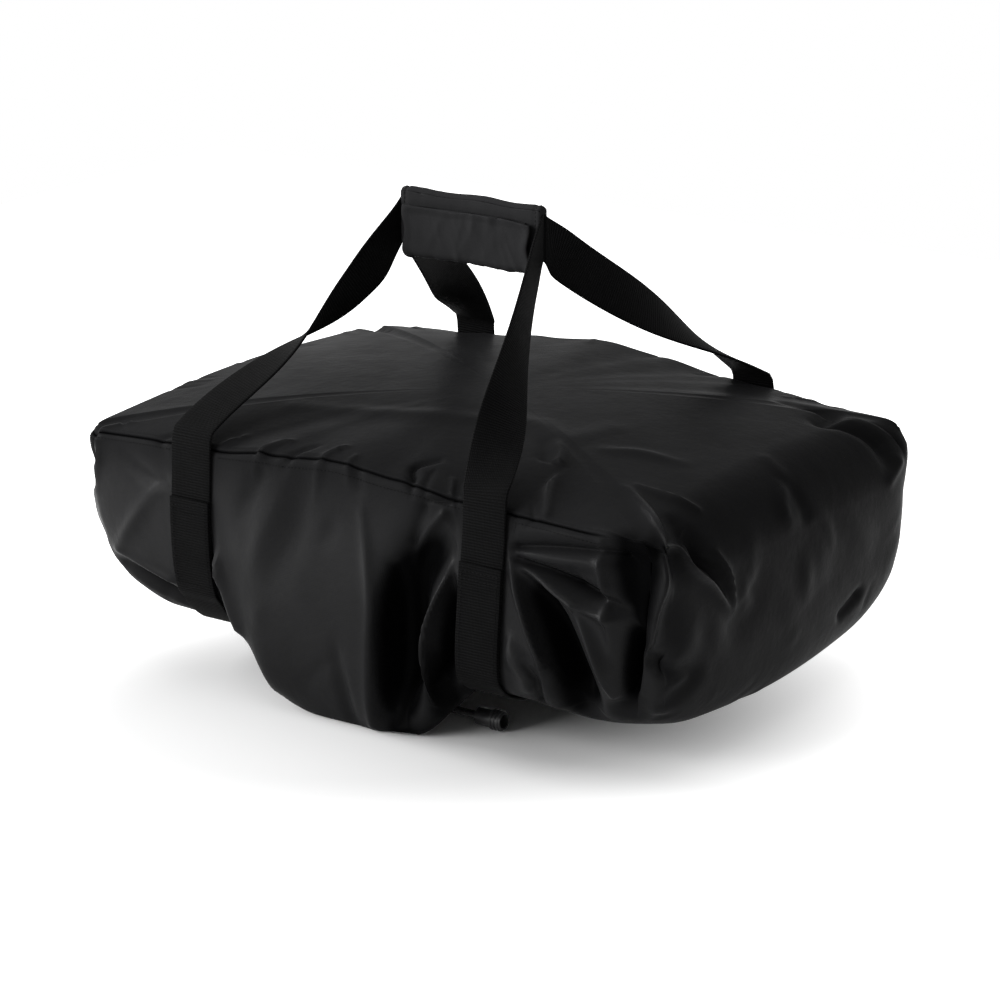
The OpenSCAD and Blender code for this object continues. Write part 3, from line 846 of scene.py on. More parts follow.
@dataclass(frozen=True)
class Fold:
    """Fold of the cloth along a route of stations, steps and heights.

    It is a ridge where the height is positive, and a crisp one has a sharp top.
    """

    route: tuple
    width: float
    crisp: bool = False

    def line(self, surface: BagSurface) -> tuple[Array, Array]:
        """Points of the route on the surface.

        Args:
            surface: Surface that the fold is on.

        Returns:
            Points and heights along the route.
        """
        scale = np.array([1.0, 1.0, 0.01])
        route = smooth_line(np.array(self.route, float) * scale, 16 * len(self.route))
        t, w, height = (route / scale).T
        return surface.point(t, np.where((w < 0) & (w > -0.004), 0.0, w)), height

    def profile(self, d: Array) -> Array:
        """Shape across the fold.

        Args:
            d: Distances from the route in widths.

        Returns:
            Shares of the height.
        """
        sharp = 2.2
        if self.crisp:
            return np.exp(1.0 - np.sqrt(1.0 + (sharp * d) ** 2))
        return np.exp(-d * d)


@dataclass
class FoldField:
    """All folds of the cloth."""

    surface: BagSurface
    folds: list

    def height(self, points: Array) -> Array:
        """Summed heights of the folds.

        Args:
            points: Places on the plain surface.

        Returns:
            Heights along the surface's normal in millimetres.
        """
        total = np.zeros(len(points))
        for fold in self.folds:
            line, height = fold.line(self.surface)
            reach = 2.8 * fold.width
            inside = np.all((points > line.min(0) - reach) & (points < line.max(0) + reach), axis=1)
            if not inside.any():
                continue
            near = points[inside]
            mid = np.clip(np.linalg.norm(near[:, None, :] - line[None], axis=2).argmin(1), 1, len(line) - 2)
            best = np.full(len(near), np.inf)
            level = np.zeros(len(near))
            for a in (mid - 1, mid):
                way = line[a + 1] - line[a]
                share = ((near - line[a]) * way).sum(1) / np.maximum((way * way).sum(1), 1e-9)
                share = np.clip(share, 0, 1)
                gap = np.linalg.norm(near - line[a] - way * share[:, None], axis=1)
                closer = gap < best
                best = np.where(closer, gap, best)
                level = np.where(closer, height[a] + (height[a + 1] - height[a]) * share, level)
            total[inside] += level * fold.profile(best / fold.width)
        return total


def photographed_folds() -> list:
    """Folds read off the photographed sides.

    Returns:
        The folds, by stations, steps and heights.
    """
    rows = [
        (((13.8, -0.01, 1), (14.8, -0.01, 6), (16.2, -0.01, 7), (17.6, -0.01, 3)), 7, True),
        (((14.05, 0.3, 2), (14.1, 1.5, 7), (14.2, 2.6, 6), (14.3, 3.8, 2)), 6, True),
        (((7.65, 0.74, 2), (7.95, 2.64, 5), (7.95, 4.45, 6), (7.9, 7.04, 4)), 8, True),
        (((8.35, 2.2, -5), (8.22, 3.5, -12), (8.18, 5.0, -14), (8.2, 6.6, -6)), 6),
        (((9.7, 1.07, -2), (9.0, 2.04, -22), (8.66, 3.06, -38), (8.58, 4.3, -46),
         (8.58, 5.6, -42), (8.6, 6.7, -20), (8.6, 7.5, -4)), 18),
        (((9.75, 2.18, 2), (9.4, 3.52, 12), (9.28, 4.49, 15), (9.35, 6.0, 12), (9.3, 7.2, 3)), 4, True),
        (((9.8, 2.9, -8), (9.72, 4.4, -24), (9.68, 5.6, -26), (9.6, 6.8, -6)), 9),
        (((8.6, 8.4, 1), (9.1, 8.4, 5), (9.6, 8.4, 8), (10.0, 8.4, 4)), 15),
        (((4.7, 6.4, -3), (5.2, 7.8, -13), (5.7, 8.8, -9)), 17),
        (((9.65, 4.49, 3), (9.95, 5.24, 3)), 4, True),
        (((9.7, 0.05, -4), (9.15, 0.32, -3)), 4, True),
        (((9.55, 0.6, 5), (8.9, 1.58, 5), (8.6, 2.32, 0)), 5, True),
        (((9.05, 0.56, -4), (8.75, 1.48, -3)), 5, True),
        (((9.05, -0.21, -2), (8.6, -0.12, -5), (8.7, -0.03, -4)), 4, True),
        (((7.5, 0.14, -3), (7.65, 0.74, -1)), 5),
        (((5.4, 0.05, -2), (5.0, 1.07, -4), (4.65, 2.46, 0)), 9),
        (((6.4, 0.23, 0), (6.05, 1.85, -5), (5.55, 3.52, 0)), 14),
        (((5.85, 0.46, 1), (5.35, 1.95, 3), (5.05, 3.47, 0)), 10),
        (((7.1, 3.98, 0), (7.3, 5.56, -4), (7.4, 6.95, -3)), 6),
        (((3.1, 2.27, -5), (3.8, 3.89, -9), (4.15, 5.56, -6)), 5),
        (((3.4, 2.13, 3), (4.05, 3.89, 4), (4.3, 4.82, 2)), 4, True),
        (((2.8, 1.07, 2), (3.6, 2.59, 7), (4.15, 4.22, 9), (4.65, 5.84, 7)), 9, True),
        (((0.55, 0.6, 0), (1.35, 1.48, -4), (1.8, 1.53, -3)), 8),
        (((1.65, 1.76, 2), (1.0, 3.47, 4), (0.45, 4.91, 2)), 9, True),
        (((0.35, 5.1, 2), (1.9, 5.93, 4), (4.05, 7.6, 4)), 5, True),
        (((0.4, 5.9, -6), (1.7, 7.2, -14), (3.6, 9.4, -12)), 9),
        (((0.0, 0.46, 5), (0.0, 1.62, 5), (-0.75, 3.06, 0)), 5, True),
        (((57.3, 0.1, -6), (57.0, 1.0, -11), (56.6, 2.4, -5)), 6),
        (((12.05, 1.2, -8), (13.2, 0.74, -8), (14.5, 0.37, -5)), 4, True),
        (((12.25, 0.6, 2), (13.2, 0.28, 4), (14.0, 0.23, 1)), 6),
        (((12.15, 1.44, 3), (13.2, 1.07, 6), (14.5, 0.88, 3)), 7),
        (((12.15, 1.58, -8), (13.15, 1.71, -13), (14.0, 1.99, -11), (14.45, 2.3, -4)), 6, True),
        (((12.1, 1.71, 5), (13.3, 2.27, 10), (14.25, 2.64, 6)), 6, True),
        (((12.05, 1.58, 5), (12.35, 2.87, 12), (12.75, 4.4, 13), (12.8, 5.0, 6)), 5, True),
        (((12.2, 1.76, -4), (12.9, 3.2, -24), (13.3, 4.6, -32), (13.6, 6.0, -28),
         (13.75, 7.2, -10)), 12),
        (((13.5, 2.55, 4), (14.05, 4.12, 12), (14.4, 5.56, 9)), 7, True),
        (((12.1, 4.59, 5), (12.45, 5.19, 7), (12.55, 5.84, 5)), 9),
        (((12.5, 4.96, -4), (12.7, 5.75, -7), (12.65, 7.74, -5)), 4, True),
        (((12.1, -0.03, -4), (12.1, 0.6, -3)), 4, True),
        (((14.85, -0.54, 2), (13.4, -0.26, 6), (12.9, -0.04, 3)), 6, True),
        (((14.05, -0.53, -1), (12.9, -0.24, -4)), 7),
        (((14.6, 0.15, -8), (14.65, 0.9, -11), (14.7, 1.9, -10), (14.72, 2.7, -9), (14.75, 3.5, -21),
         (14.75, 4.6, -24), (14.7, 6.4, -10)), 12),
        (((15.7, 0.1, -7), (15.9, 0.9, -9), (15.6, 1.8, -7), (15.2, 2.6, -2)), 10),
        (((15.3, 1.81, -8), (14.95, 3.2, -12), (14.75, 4.22, -11), (14.65, 5.7, -6)), 5, True),
        (((17.6, 0.2, 6), (17.2, 1.34, 17), (16.1, 2.59, 16), (15.5, 3.8, 9), (15.15, 5.4, 4)), 7, True),
        (((19.1, -0.26, 2), (19.0, -0.12, 6), (19.0, -0.02, 7), (19.25, 0.2, 7), (19.38, 1.0, 9),
         (19.85, 1.92, 8), (20.3, 3.0, 2)), 6, True),
        (((19.4, -0.06, -3), (19.65, 0.15, -7), (19.75, 0.9, -11), (19.98, 1.55, -8),
         (20.1, 2.0, -2)), 8),
        (((20.05, 1.0, 3), (20.25, 1.9, 7), (20.4, 3.0, 3)), 5, True),
        (((19.35, -0.25, 2), (19.66, -0.15, 5), (20.02, -0.06, 2)), 5, True),
        (((19.65, -0.46, 1), (20.35, -0.37, 3), (20.75, -0.26, 1)), 7),
        (((29.35, -0.26, -3), (24.8, -0.18, -7), (24.55, -0.07, -7), (24.5, 0.69, -3)), 9),
        (((24.8, 0.97, 3), (24.45, 1.44, 2)), 7),
        (((23.65, 5.14, -5), (23.25, 5.56, -4)), 6),
        (((22.15, -0.11, 1), (21.75, 0.6, 3), (21.9, 1.62, 0)), 8),
        (((22.05, 0.05, -2), (22.2, 1.2, -3)), 8),
        (((20.9, 1.07, 1), (20.7, 2.78, 3)), 12),
        (((17.4, 3.61, -3), (19.45, 4.68, -5), (19.15, 5.65, -3)), 9),
        (((15.45, 3.89, -6), (18.05, 4.4, -6)), 8),
        (((1.05, -0.44, 1), (4.95, -0.5, 2), (8.4, -0.6, 2), (13.7, -0.69, 2), (20.9, -0.54, 1)), 12),
    ]
    return [Fold(*row) for row in rows]


def hidden_folds() -> list:
    """Folds of the sides that the photograph does not show, in the manner of the front.

    Returns:
        The folds, by stations, steps and heights.
    """
    rows = [
        (((34.3, 6.4, -3), (34.8, 7.8, -13), (35.3, 8.8, -9)), 17),
        (((39.7, 6.4, -3), (39.2, 7.8, -13), (38.7, 8.8, -9)), 17),
        (((39.8, 1.2, -2), (39.3, 2.2, -14), (39.05, 3.4, -27), (39.0, 5.0, -28), (39.05, 6.6, -8)), 14),
        (((39.85, 2.2, 2), (39.55, 3.6, 9), (39.5, 5.2, 10), (39.5, 6.6, 4)), 5, True),
        (((34.15, 1.4, -2), (34.6, 2.6, -16), (34.85, 4.0, -26), (34.9, 5.6, -20), (34.85, 6.8, -4)), 13),
        (((34.1, 2.6, 2), (34.35, 4.0, 8), (34.4, 5.8, 8), (34.5, 7.0, 3)), 5, True),
        (((36.0, 0.3, 1), (36.6, 2.4, 5), (36.9, 4.6, 2)), 12),
        (((37.6, 0.6, -1), (37.2, 2.8, -7), (37.3, 5.2, -4)), 11),
        (((38.4, 0.4, 2), (38.0, 2.0, 6), (38.1, 4.4, 4)), 9, True),
        (((35.4, 1.0, -2), (35.8, 3.2, -6), (36.3, 5.6, -3)), 9),
        (((31.8, 1.4, -6), (30.8, 1.8, -10), (29.8, 2.2, -6)), 6, True),
        (((31.8, 1.6, 4), (31.0, 2.8, 9), (30.2, 4.2, 6)), 7, True),
        (((31.7, 2.4, -6), (31.1, 4.0, -22), (30.6, 5.6, -16)), 11),
        (((31.9, 0.5, 3), (30.9, 0.6, 5), (29.9, 0.7, 2)), 7),
        (((28.6, 0.8, 3), (28.0, 2.4, 7), (27.2, 4.2, 4)), 9, True),
        (((29.4, 1.4, -3), (28.8, 3.2, -9), (28.3, 5.0, -6)), 9),
        (((42.2, 1.6, 4), (43.2, 2.8, 8), (44.2, 3.8, 4)), 7, True),
        (((42.3, 2.6, -6), (43.1, 4.2, -15), (43.8, 5.6, -8)), 10),
        (((42.2, 0.9, -3), (43.0, 1.2, -6), (43.9, 1.6, -3)), 6, True),
        (((46.2, 0.8, 3), (47.4, 2.2, 7), (48.8, 3.8, 3)), 8, True),
        (((46.8, 2.6, -3), (48.2, 4.0, -9), (49.4, 5.4, -4)), 9),
        (((48.6, 0.8, 2), (50.0, 2.6, 7), (51.2, 4.6, 3)), 9, True),
        (((49.2, 1.6, -4), (49.8, 3.6, -10), (50.6, 5.6, -5)), 10),
        (((52.8, 0.8, -2), (51.6, 2.8, -10), (50.8, 5.2, -5)), 11),
        (((53.6, 1.0, 3), (53.0, 3.0, 8), (52.6, 5.0, 3)), 8, True),
        (((54.6, 1.6, -3), (53.8, 3.6, -8), (53.4, 5.6, -4)), 9),
        (((50.2, 0.3, 2), (51.0, 1.0, 5), (51.8, 1.9, 1)), 8),
    ]
    return [Fold(*row) for row in rows]


def shaded_places() -> list:
    """Places that lie in a fold's pocket, though they are not deep themselves.

    Returns:
        Routes whose heights are the share of the shade.
    """
    rows = [
        (((8.45, 5.4, 0.7), (8.45, 6.8, 1), (8.55, 8.2, 1), (8.7, 9.4, 0.9)), 15),
        (((9.6, 5.6, 0.7), (9.55, 6.8, 1), (9.4, 8.2, 1), (9.3, 9.4, 0.9)), 17),
        (((14.65, 0.1, 1), (14.65, 0.9, 1.1), (14.7, 1.7, 1), (14.75, 2.3, 0.5)), 14),
        (((14.85, 2.0, 0.8), (14.9, 3.0, 1), (14.9, 3.8, 0.9), (14.8, 5.0, 0.7)), 7),
        (((15.8, 0.1, 1), (15.8, 0.7, 1), (15.3, 1.5, 0.7), (15.1, 2.2, 0.4)), 9),
        (((13.1, 5.0, 0.5), (13.4, 6.2, 0.9), (13.5, 7.4, 0.7)), 12),
    ]
    return [Fold(*row) for row in rows]


def loose_folds(seed: int, count: int, crumples: int) -> list:
    """Small folds that slack cloth has everywhere, and broad crumples of the right end.

    Args:
        seed: Seed of the random numbers.
        count: How many folds.
        crumples: How many crumples.

    Returns:
        The folds.
    """
    draw = np.random.default_rng(seed)
    folds = []
    for _ in range(count):
        t, w = draw.uniform(0, STATIONS), draw.uniform(0.8, 8.0)
        length, lean = draw.uniform(0.8, 2.6), draw.uniform(-0.7, 0.7)
        bow, height = draw.uniform(-0.25, 0.25), draw.choice([-1, 1]) * draw.uniform(0.8, 2.6)
        on_right_end = 17.5 < t < 28.5
        height *= 0.4 if on_right_end else 1.0
        route = (
            (t, w, 0.0),
            (t + lean * length * 0.5 + bow, w + length * 0.5, height),
            (t + lean * length, w + length, 0.0),
        )
        folds.append(Fold(route, draw.uniform(5, 11), draw.uniform() < 0.4))
    for _ in range(crumples):
        t, w = draw.uniform(18.5, 23.0), draw.uniform(0.6, 4.5)
        ends, height = (draw.uniform(-1.6, 1.6), draw.uniform(1.2, 3.0)), draw.uniform(-2.6, 2.4)
        route = ((t, w, 0.0), (t + ends[0] / 2, w + ends[1] / 2, height), (t + ends[0], w + ends[1], 0.0))
        folds.append(Fold(route, draw.uniform(10, 22)))
    return folds


def seam_puckers(seed: int, count: int) -> list:
    """Short puckers across the top seam, everywhere but on the right end.

    Args:
        seed: Seed of the random numbers.
        count: How many.

    Returns:
        The puckers.
    """
    draw = np.random.default_rng(seed)
    puckers = []
    for _ in range(count):
        t, lean = draw.uniform(30.0, STATIONS + 14.0), draw.uniform(-0.25, 0.25)
        height = draw.choice([-1, 1]) * draw.uniform(1.0, 3.2) * (0.35 if t < 55 else 1.0)
        route = (
            (t - lean, -draw.uniform(0.05, 0.14), 0.0),
            (t, 0.0, height),
            (t + lean, draw.uniform(0.4, 1.3), 0.0),
        )
        puckers.append(Fold(route, draw.uniform(3.0, 5.5), True))
    return puckers


@dataclass(frozen=True)
class Mouth:
    """Stadium-shaped opening in the base."""

    x: float
    straight: float
    radius: float
    z: float
    bead: float
    notch: float

    def line(self, a: Array) -> Array:
        """Places on the opening's edge.

        Args:
            a: Shares of the way around it as angles, from -90 degrees in the front's middle.

        Returns:
            Points in millimetres.
        """
        turn = np.radians(np.linspace(-90, 90, 61))
        bow = np.stack([np.cos(turn), np.sin(turn)], 1) * self.radius
        half = np.array([self.straight / 2, 0.0])
        start = np.array([[0.0, -self.radius]])
        ring = np.vstack([start, bow + half, -bow - half, start])
        run = run_along(ring)
        at = np.mod((a + np.pi / 2) / (2 * np.pi), 1.0) * run[-1]
        x, y = (np.interp(at, run, ring[:, k]) for k in range(2))
        return np.stack([x + self.x, y, np.full_like(a, self.z)], -1)

    def open_line(self, gap: float, count: int) -> Array:
        """Edge of the opening without the gap in front, where the cords come out.

        Args:
            gap: Width of the gap.
            count: Number of points to return.

        Returns:
            Points in millimetres, evenly spaced.
        """
        line = self.line(np.linspace(-np.pi / 2, 1.5 * np.pi, 2400, endpoint=False))
        keep = ~((np.abs(line[:, 0] - self.x) < gap / 2) & (line[:, 1] < 0))
        return smooth_line(line[keep][::24], count)


@dataclass
class BagCloth:
    """Cloth of the bag: top, walls, base, hem and seam stitches."""

    surface: BagSurface
    finish: bpy.types.Material
    columns: int = 700
    rows: int = 136
    dense: float = 2.2
    top_rows: int = 72
    crowd: float = 1.3
    top_crowd: float = 1.5
    inset: float = 0.6
    groove_depth: float = 2.2
    groove_half: float = 1.3
    # Fold depth at which the painted crease shade starts, and the depth over which it grows to full.
    crease_shade: tuple = (3.0, 12.0)
    ridge: tuple = (1.0, 7.0)
    beside_sling: tuple = (1.0, 9.0)
    blur: float = 27.0
    corner_reach: float = 52.0
    folds: FoldField = field(init=False)
    shade: FoldField = field(init=False)

    def __post_init__(self) -> None:
        """Gathers the folds of the cloth."""
        loose = loose_folds(11, 90, 22) + seam_puckers(4, 64)
        self.folds = FoldField(self.surface, photographed_folds() + hidden_folds() + loose)
        self.shade = FoldField(self.surface, shaded_places())

    def strap_mask(self, points: Array) -> Array:
        """Shares of the folds that are left beside the slings.

        Args:
            points: Places on the plain surface.

        Returns:
            0 under a sling, 1 away from it.
        """
        s = self.surface
        near = np.minimum(np.abs(points[:, 0] - s.sling_left), np.abs(points[:, 0] - s.sling_right))
        under_edge = 20.0
        wall = np.abs(points[:, 1]) > s.base_half_w - under_edge
        start, way = self.beside_sling
        return np.where(wall, ease((near - s.web_half - start) / way), 1.0)

    def even_stations(self, count: int, dense: float = 1.0) -> Array:
        """Stations at even distances along the top seam.

        Args:
            count: How many.
            dense: How much closer they are where the folds are sharpest.

        Returns:
            The stations.
        """
        t = np.linspace(0, STATIONS, 8001)
        run = np.linalg.norm(np.diff(self.surface.point(t, 0 * t), axis=0), axis=1)
        run *= 1.0 + (dense - 1.0) * window(t[1:], 6.5, 1.5, 20.5, 1.5)
        run = np.concatenate([[0], np.cumsum(run)])
        return np.interp(np.arange(count) * run[-1] / count, run, t)

    def relief(self, t: Array, w: Array, start: Array) -> tuple[Array, Array, Array]:
        """Moves the cloth by the folds.

        Args:
            t: Stations.
            w: Steps.
            start: Places of the unfolded cloth.

        Returns:
            The folded cloth, the share of painted shade at each place (deep creases, the seam groove and
            shaded pockets), and how high on a ridge.
        """
        plain = self.surface.point(t, w).reshape(-1, 3)
        height = self.folds.height(plain) * self.strap_mask(plain)
        gap = np.linalg.norm(plain - self.surface.point(t, 0 * w).reshape(-1, 3), axis=1)
        seam = np.mod(t, STATIONS).reshape(-1)
        sewn = 1.0 - window(seam, 13.6, 0.8, 30.0, 2.0)
        groove = np.exp(-((gap / self.groove_half) ** 2)) * sewn
        height -= self.groove_depth * groove + self.inset
        moved = start.reshape(-1, 3) + self.surface.outward(t, w).reshape(-1, 3) * height[:, None]
        moved[:, 2] = np.maximum(moved[:, 2], 0.0)
        # Painted shade: deep folds, the seam groove and the shaded pockets get a share that darkens the
        # cloth's colour.
        deep = np.maximum(ease((-height - self.crease_shade[0]) / self.crease_shade[1]), groove)
        deep = np.maximum(deep, ease(1.2 * self.shade.height(plain)))
        return moved, deep, ease((height - self.ridge[0]) / self.ridge[1])

    def mark(self, obj: bpy.types.Object, deep: Array, crest: Array, t: Array, w: Array) -> None:
        """Stores the share of painted shade at each place, and how slack or rubbed the cloth is there.

        Args:
            obj: The cloth.
            deep: Shares of the painted shade by vertex.
            crest: Shares of the ridge by vertex.
            t: Stations by vertex.
            w: Steps by vertex.
        """
        full = window(t, 16.5, 3.0, 31.0, 3.0)
        slack = window(w, 0.0, 2.5, 8.5, 4.0) * (1.0 - 0.8 * full)
        # Where shade is painted, the shine is taken away as well.
        slack = np.maximum(slack.reshape(-1), 0.8 * crest) * (1.0 - deep)
        for name, values in (("crease_shade", deep), ("slack", slack)):
            layer = obj.data.attributes.new(name, "FLOAT", "POINT")
            layer.data.foreach_set("value", values.astype(np.float32))

    def rounded(self, grid: Array, t: Array, w: Array) -> Array:
        """Rounds the walls' upright corners below the seam.

        Args:
            grid: Wall points by row and column.
            t: Stations of the columns, evenly spaced along the seam.
            w: Steps of the rows.

        Returns:
            The rounded walls.
        """
        columns = grid.shape[1]
        step = np.linalg.norm(self.surface.point(t[1], 0.0) - self.surface.point(t[0], 0.0))
        away = np.arange(columns)
        away = np.minimum(away, columns - away) * step
        kernel = np.exp(-0.5 * (away / self.blur) ** 2)
        kernel = np.fft.fft(kernel / kernel.sum())[None, :, None]
        blur = np.fft.ifft(np.fft.fft(grid, axis=1) * kernel, axis=1).real
        share = np.zeros(columns)
        for corner, strength in ((17.0, 1.0), (27.0, 0.9), (46.0, 0.6), (56.0, 0.5)):
            column = int(np.abs(t - corner).argmin())
            share += strength * np.exp(-((np.roll(away, column) / self.corner_reach) ** 2))
        level = window(w, 0.3, 2.2, BASE_STEP, 2.5)
        share = np.minimum(share, 1.0)[None, :] * level[:, None]
        return grid + (blur - grid) * share[..., None]

    def walls(self) -> bpy.types.Object:
        """Builds the four walls as one slack loop.

        Returns:
            The piece.
        """
        even = self.even_stations(self.columns)
        t = self.even_stations(self.columns, self.dense)
        w = BASE_STEP * np.linspace(0, 1, self.rows) ** self.crowd
        tt, ww = np.meshgrid(even, w)
        smooth = self.rounded(self.surface.soft_point(tt, ww), even, w)
        start = [[np.interp(t, even, row[:, k], period=STATIONS) for k in range(3)] for row in smooth]
        start = np.moveaxis(np.array(start), 1, 2)
        tt, ww = np.meshgrid(t, w)
        moved, deep, crest = self.relief(tt, ww, start)
        grid = moved.reshape(self.rows, self.columns, 3)
        seam = np.vstack([grid[0], grid[:1, 0]])
        down = np.linalg.norm(np.diff(grid, axis=0), axis=2).mean(1)
        spots = grid_uv(run_along(seam) * MM, np.concatenate([[0], np.cumsum(down)]) * MM)
        obj = mesh_object("wall_cloth", moved, grid_faces(self.rows, self.columns, True), self.finish, spots)
        self.mark(obj, deep, crest, tt, ww)
        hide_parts("front_panel", "back_panel", "left_end_panel", "right_end_panel")
        return obj

    @staticmethod
    def seen_from_above(points: Array, faces: list) -> list:
        """Places of the faces' corners as seen from above."""
        return [(points[k, 0] * MM, points[k, 1] * MM) for face in faces for k in face]

    def top(self) -> bpy.types.Object:
        """Builds the crowned top.

        Returns:
            The piece.
        """
        t = self.even_stations(self.columns, self.dense)
        w = -((1.0 - np.linspace(0.016, 1, self.top_rows)) ** self.top_crowd)
        w[-1] = -1e-7
        tt, ww = np.meshgrid(t, w)
        moved, deep, crest = self.relief(tt, ww, self.surface.soft_point(tt, ww))
        faces = grid_faces(self.top_rows, self.columns, True) + [tuple(range(self.columns))]
        obj = mesh_object("top_cloth", moved, faces, self.finish, self.seen_from_above(moved, faces))
        self.mark(obj, deep, crest, tt, ww)
        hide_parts("top_panel")
        return obj

    def base(self, mouth: Mouth) -> bpy.types.Object:
        """Builds the base with puckers around the mouth.

        Args:
            mouth: The opening in the base.

        Returns:
            The piece.
        """
        columns, rows, gathers, depth, inset = 360, 20, 44, 0.45, 0.65
        a = np.arange(columns) * 2 * np.pi / columns
        inner = mouth.line(a)
        t = np.linspace(0, STATIONS, 4000, endpoint=False)
        s = self.surface
        rim = s.outline(t, s.base_left, s.base_right, s.base_half_w, s.base_r)
        turn = np.arctan2(rim[:, 1], rim[:, 0] - mouth.x)
        order = np.argsort(turn)
        way = np.arctan2(inner[:, 1], inner[:, 0] - mouth.x)
        outer = np.stack([np.interp(way, turn[order], rim[order, k], period=2 * np.pi) for k in range(2)], 1)
        share = np.linspace(0, 1, rows)[:, None, None]
        xy = inner[None, :, :2] + (outer - inner[:, :2])[None] * share
        pucker = depth * np.cos(gathers * a)[None, :] * np.exp(-4 * share[..., 0])
        z = s.base_z + inset + pucker
        points = np.concatenate([xy, z[..., None]], -1).reshape(-1, 3)
        faces = grid_faces(rows, columns, True)
        obj = mesh_object("base_cloth", points, faces, self.finish, self.seen_from_above(points, faces))
        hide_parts("base_panel")
        return obj

    def hem(self, mouth: Mouth) -> bpy.types.Object:
        """Builds the gathered hem around the mouth, open where the cords come out.

        Args:
            mouth: The opening in the base.

        Returns:
            The piece.
        """
        line = mouth.open_line(mouth.notch, 420)
        line[:, 2] = self.surface.base_z - mouth.bead
        inset, depth, pace = 0.35, 0.3, 1.3
        gather = mouth.bead - inset + depth * np.cos(np.arange(len(line)) * pace)
        obj = tube_mesh("mouth_hem_cloth", line, gather, 20, self.finish)
        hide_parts("mouth_hem")
        return obj

    def seam_rows(self, stitches: "StitchRows") -> bpy.types.Object:
        """Sews the row of stitches below the bound seam.

        Args:
            stitches: The thread.

        Returns:
            The threads.
        """
        t = np.linspace(30.5, STATIONS + 14.0, 900)
        w = np.full_like(t, 0.3)
        proud = 0.2
        line = self.relief(t, w, self.surface.soft_point(t, w))[0] + self.surface.outward(t, w) * proud
        clear = self.strap_mask(self.surface.point(t, w)) > 0.5
        cuts = np.flatnonzero(np.diff(clear.astype(int)))
        runs = [r for r in np.split(np.arange(len(t)), cuts + 1) if clear[r[0]] and len(r) > 3]
        return stitches.sew("seam_stitches", [line[r] for r in runs])

    def build(self, mouth: Mouth, stitches: "StitchRows") -> None:
        """Builds the cloth."""
        for piece in (self.walls(), self.top(), self.base(mouth), self.hem(mouth), self.seam_rows(stitches)):
            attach(piece, "bag")


@dataclass
class StitchRows:
    """Rows of thread stitches, set along lines by one geometry node tree."""

    finish: bpy.types.Material
    spacing: float = 3.4
    length: float = 2.5
    radius: float = 0.38
    tree: bpy.types.NodeTree = field(init=False)

    def __post_init__(self) -> None:
        """Builds the node tree: line, even points, threads along the line."""
        tree = bpy.data.node_groups.new("stitch_rows", "GeometryNodeTree")
        face = tree.interface
        face.new_socket("Line", in_out="INPUT", socket_type="NodeSocketGeometry")
        self.ids = {}
        for name in ("Spacing", "Length", "Radius"):
            self.ids[name] = face.new_socket(name, in_out="INPUT", socket_type="NodeSocketFloat").identifier
        face.new_socket("Threads", in_out="OUTPUT", socket_type="NodeSocketGeometry")
        add = tree.nodes.new
        into, out = add("NodeGroupInput"), add("NodeGroupOutput")
        line, even = add("GeometryNodeMeshToCurve"), add("GeometryNodeResampleCurve")
        even.mode = "LENGTH"
        thread = add("GeometryNodeMeshUVSphere")
        for name, value in (("Segments", 6), ("Rings", 5), ("Radius", 1.0)):
            thread.inputs[name].default_value = value
        along, turn = add("GeometryNodeInputTangent"), add("FunctionNodeAlignRotationToVector")
        turn.axis = "Z"
        size, half = add("ShaderNodeCombineXYZ"), add("ShaderNodeMath")
        half.operation = "MULTIPLY"
        half.inputs[1].default_value = 0.5
        sow = add("GeometryNodeInstanceOnPoints")
        real, paint = add("GeometryNodeRealizeInstances"), add("GeometryNodeSetMaterial")
        paint.inputs["Material"].default_value = self.finish
        for source, output, node, place in (
            (into, "Line", line, "Mesh"),
            (line, "Curve", even, "Curve"),
            (into, "Spacing", even, "Length"),
            (even, "Curve", sow, "Points"),
            (thread, "Mesh", sow, "Instance"),
            (along, "Tangent", turn, "Vector"),
            (turn, "Rotation", sow, "Rotation"),
            (into, "Radius", size, "X"),
            (into, "Radius", size, "Y"),
            (into, "Length", half, 0),
            (half, 0, size, "Z"),
            (size, "Vector", sow, "Scale"),
            (sow, "Instances", real, "Geometry"),
            (real, "Geometry", paint, "Geometry"),
            (paint, "Geometry", out, "Threads"),
        ):
            tree.links.new(source.outputs[output], node.inputs[place])
        self.tree = tree

    def sew(self, name: str, lines_mm: list) -> bpy.types.Object:
        """Sews threads along lines.

        Args:
            name: Name of the piece.
            lines_mm: Lines of points in millimetres.

        Returns:
            The threads as one plain mesh.
        """
        points, edges = [], []
        for line in lines_mm:
            edges += [(len(points) + k, len(points) + k + 1) for k in range(len(line) - 1)]
            points += [tuple(np.asarray(p) * MM) for p in line]
        guide = bpy.data.meshes.new(name + "_line")
        guide.from_pydata(points, edges, [])
        obj = linked(name, guide)
        rows = obj.modifiers.new("stitches", "NODES")
        rows.node_group = self.tree
        for key, value in (("Spacing", self.spacing), ("Length", self.length), ("Radius", self.radius)):
            rows[self.ids[key]] = value * MM
        bpy.context.view_layer.update()
        done = bpy.data.meshes.new_from_object(obj.evaluated_get(bpy.context.evaluated_depsgraph_get()))
        obj.modifiers.clear()
        obj.data = done
        if not done.materials:
            done.materials.append(self.finish)
        bpy.data.meshes.remove(guide)
        LOG.info("%s: %d vertices", name, len(done.vertices))
        return obj


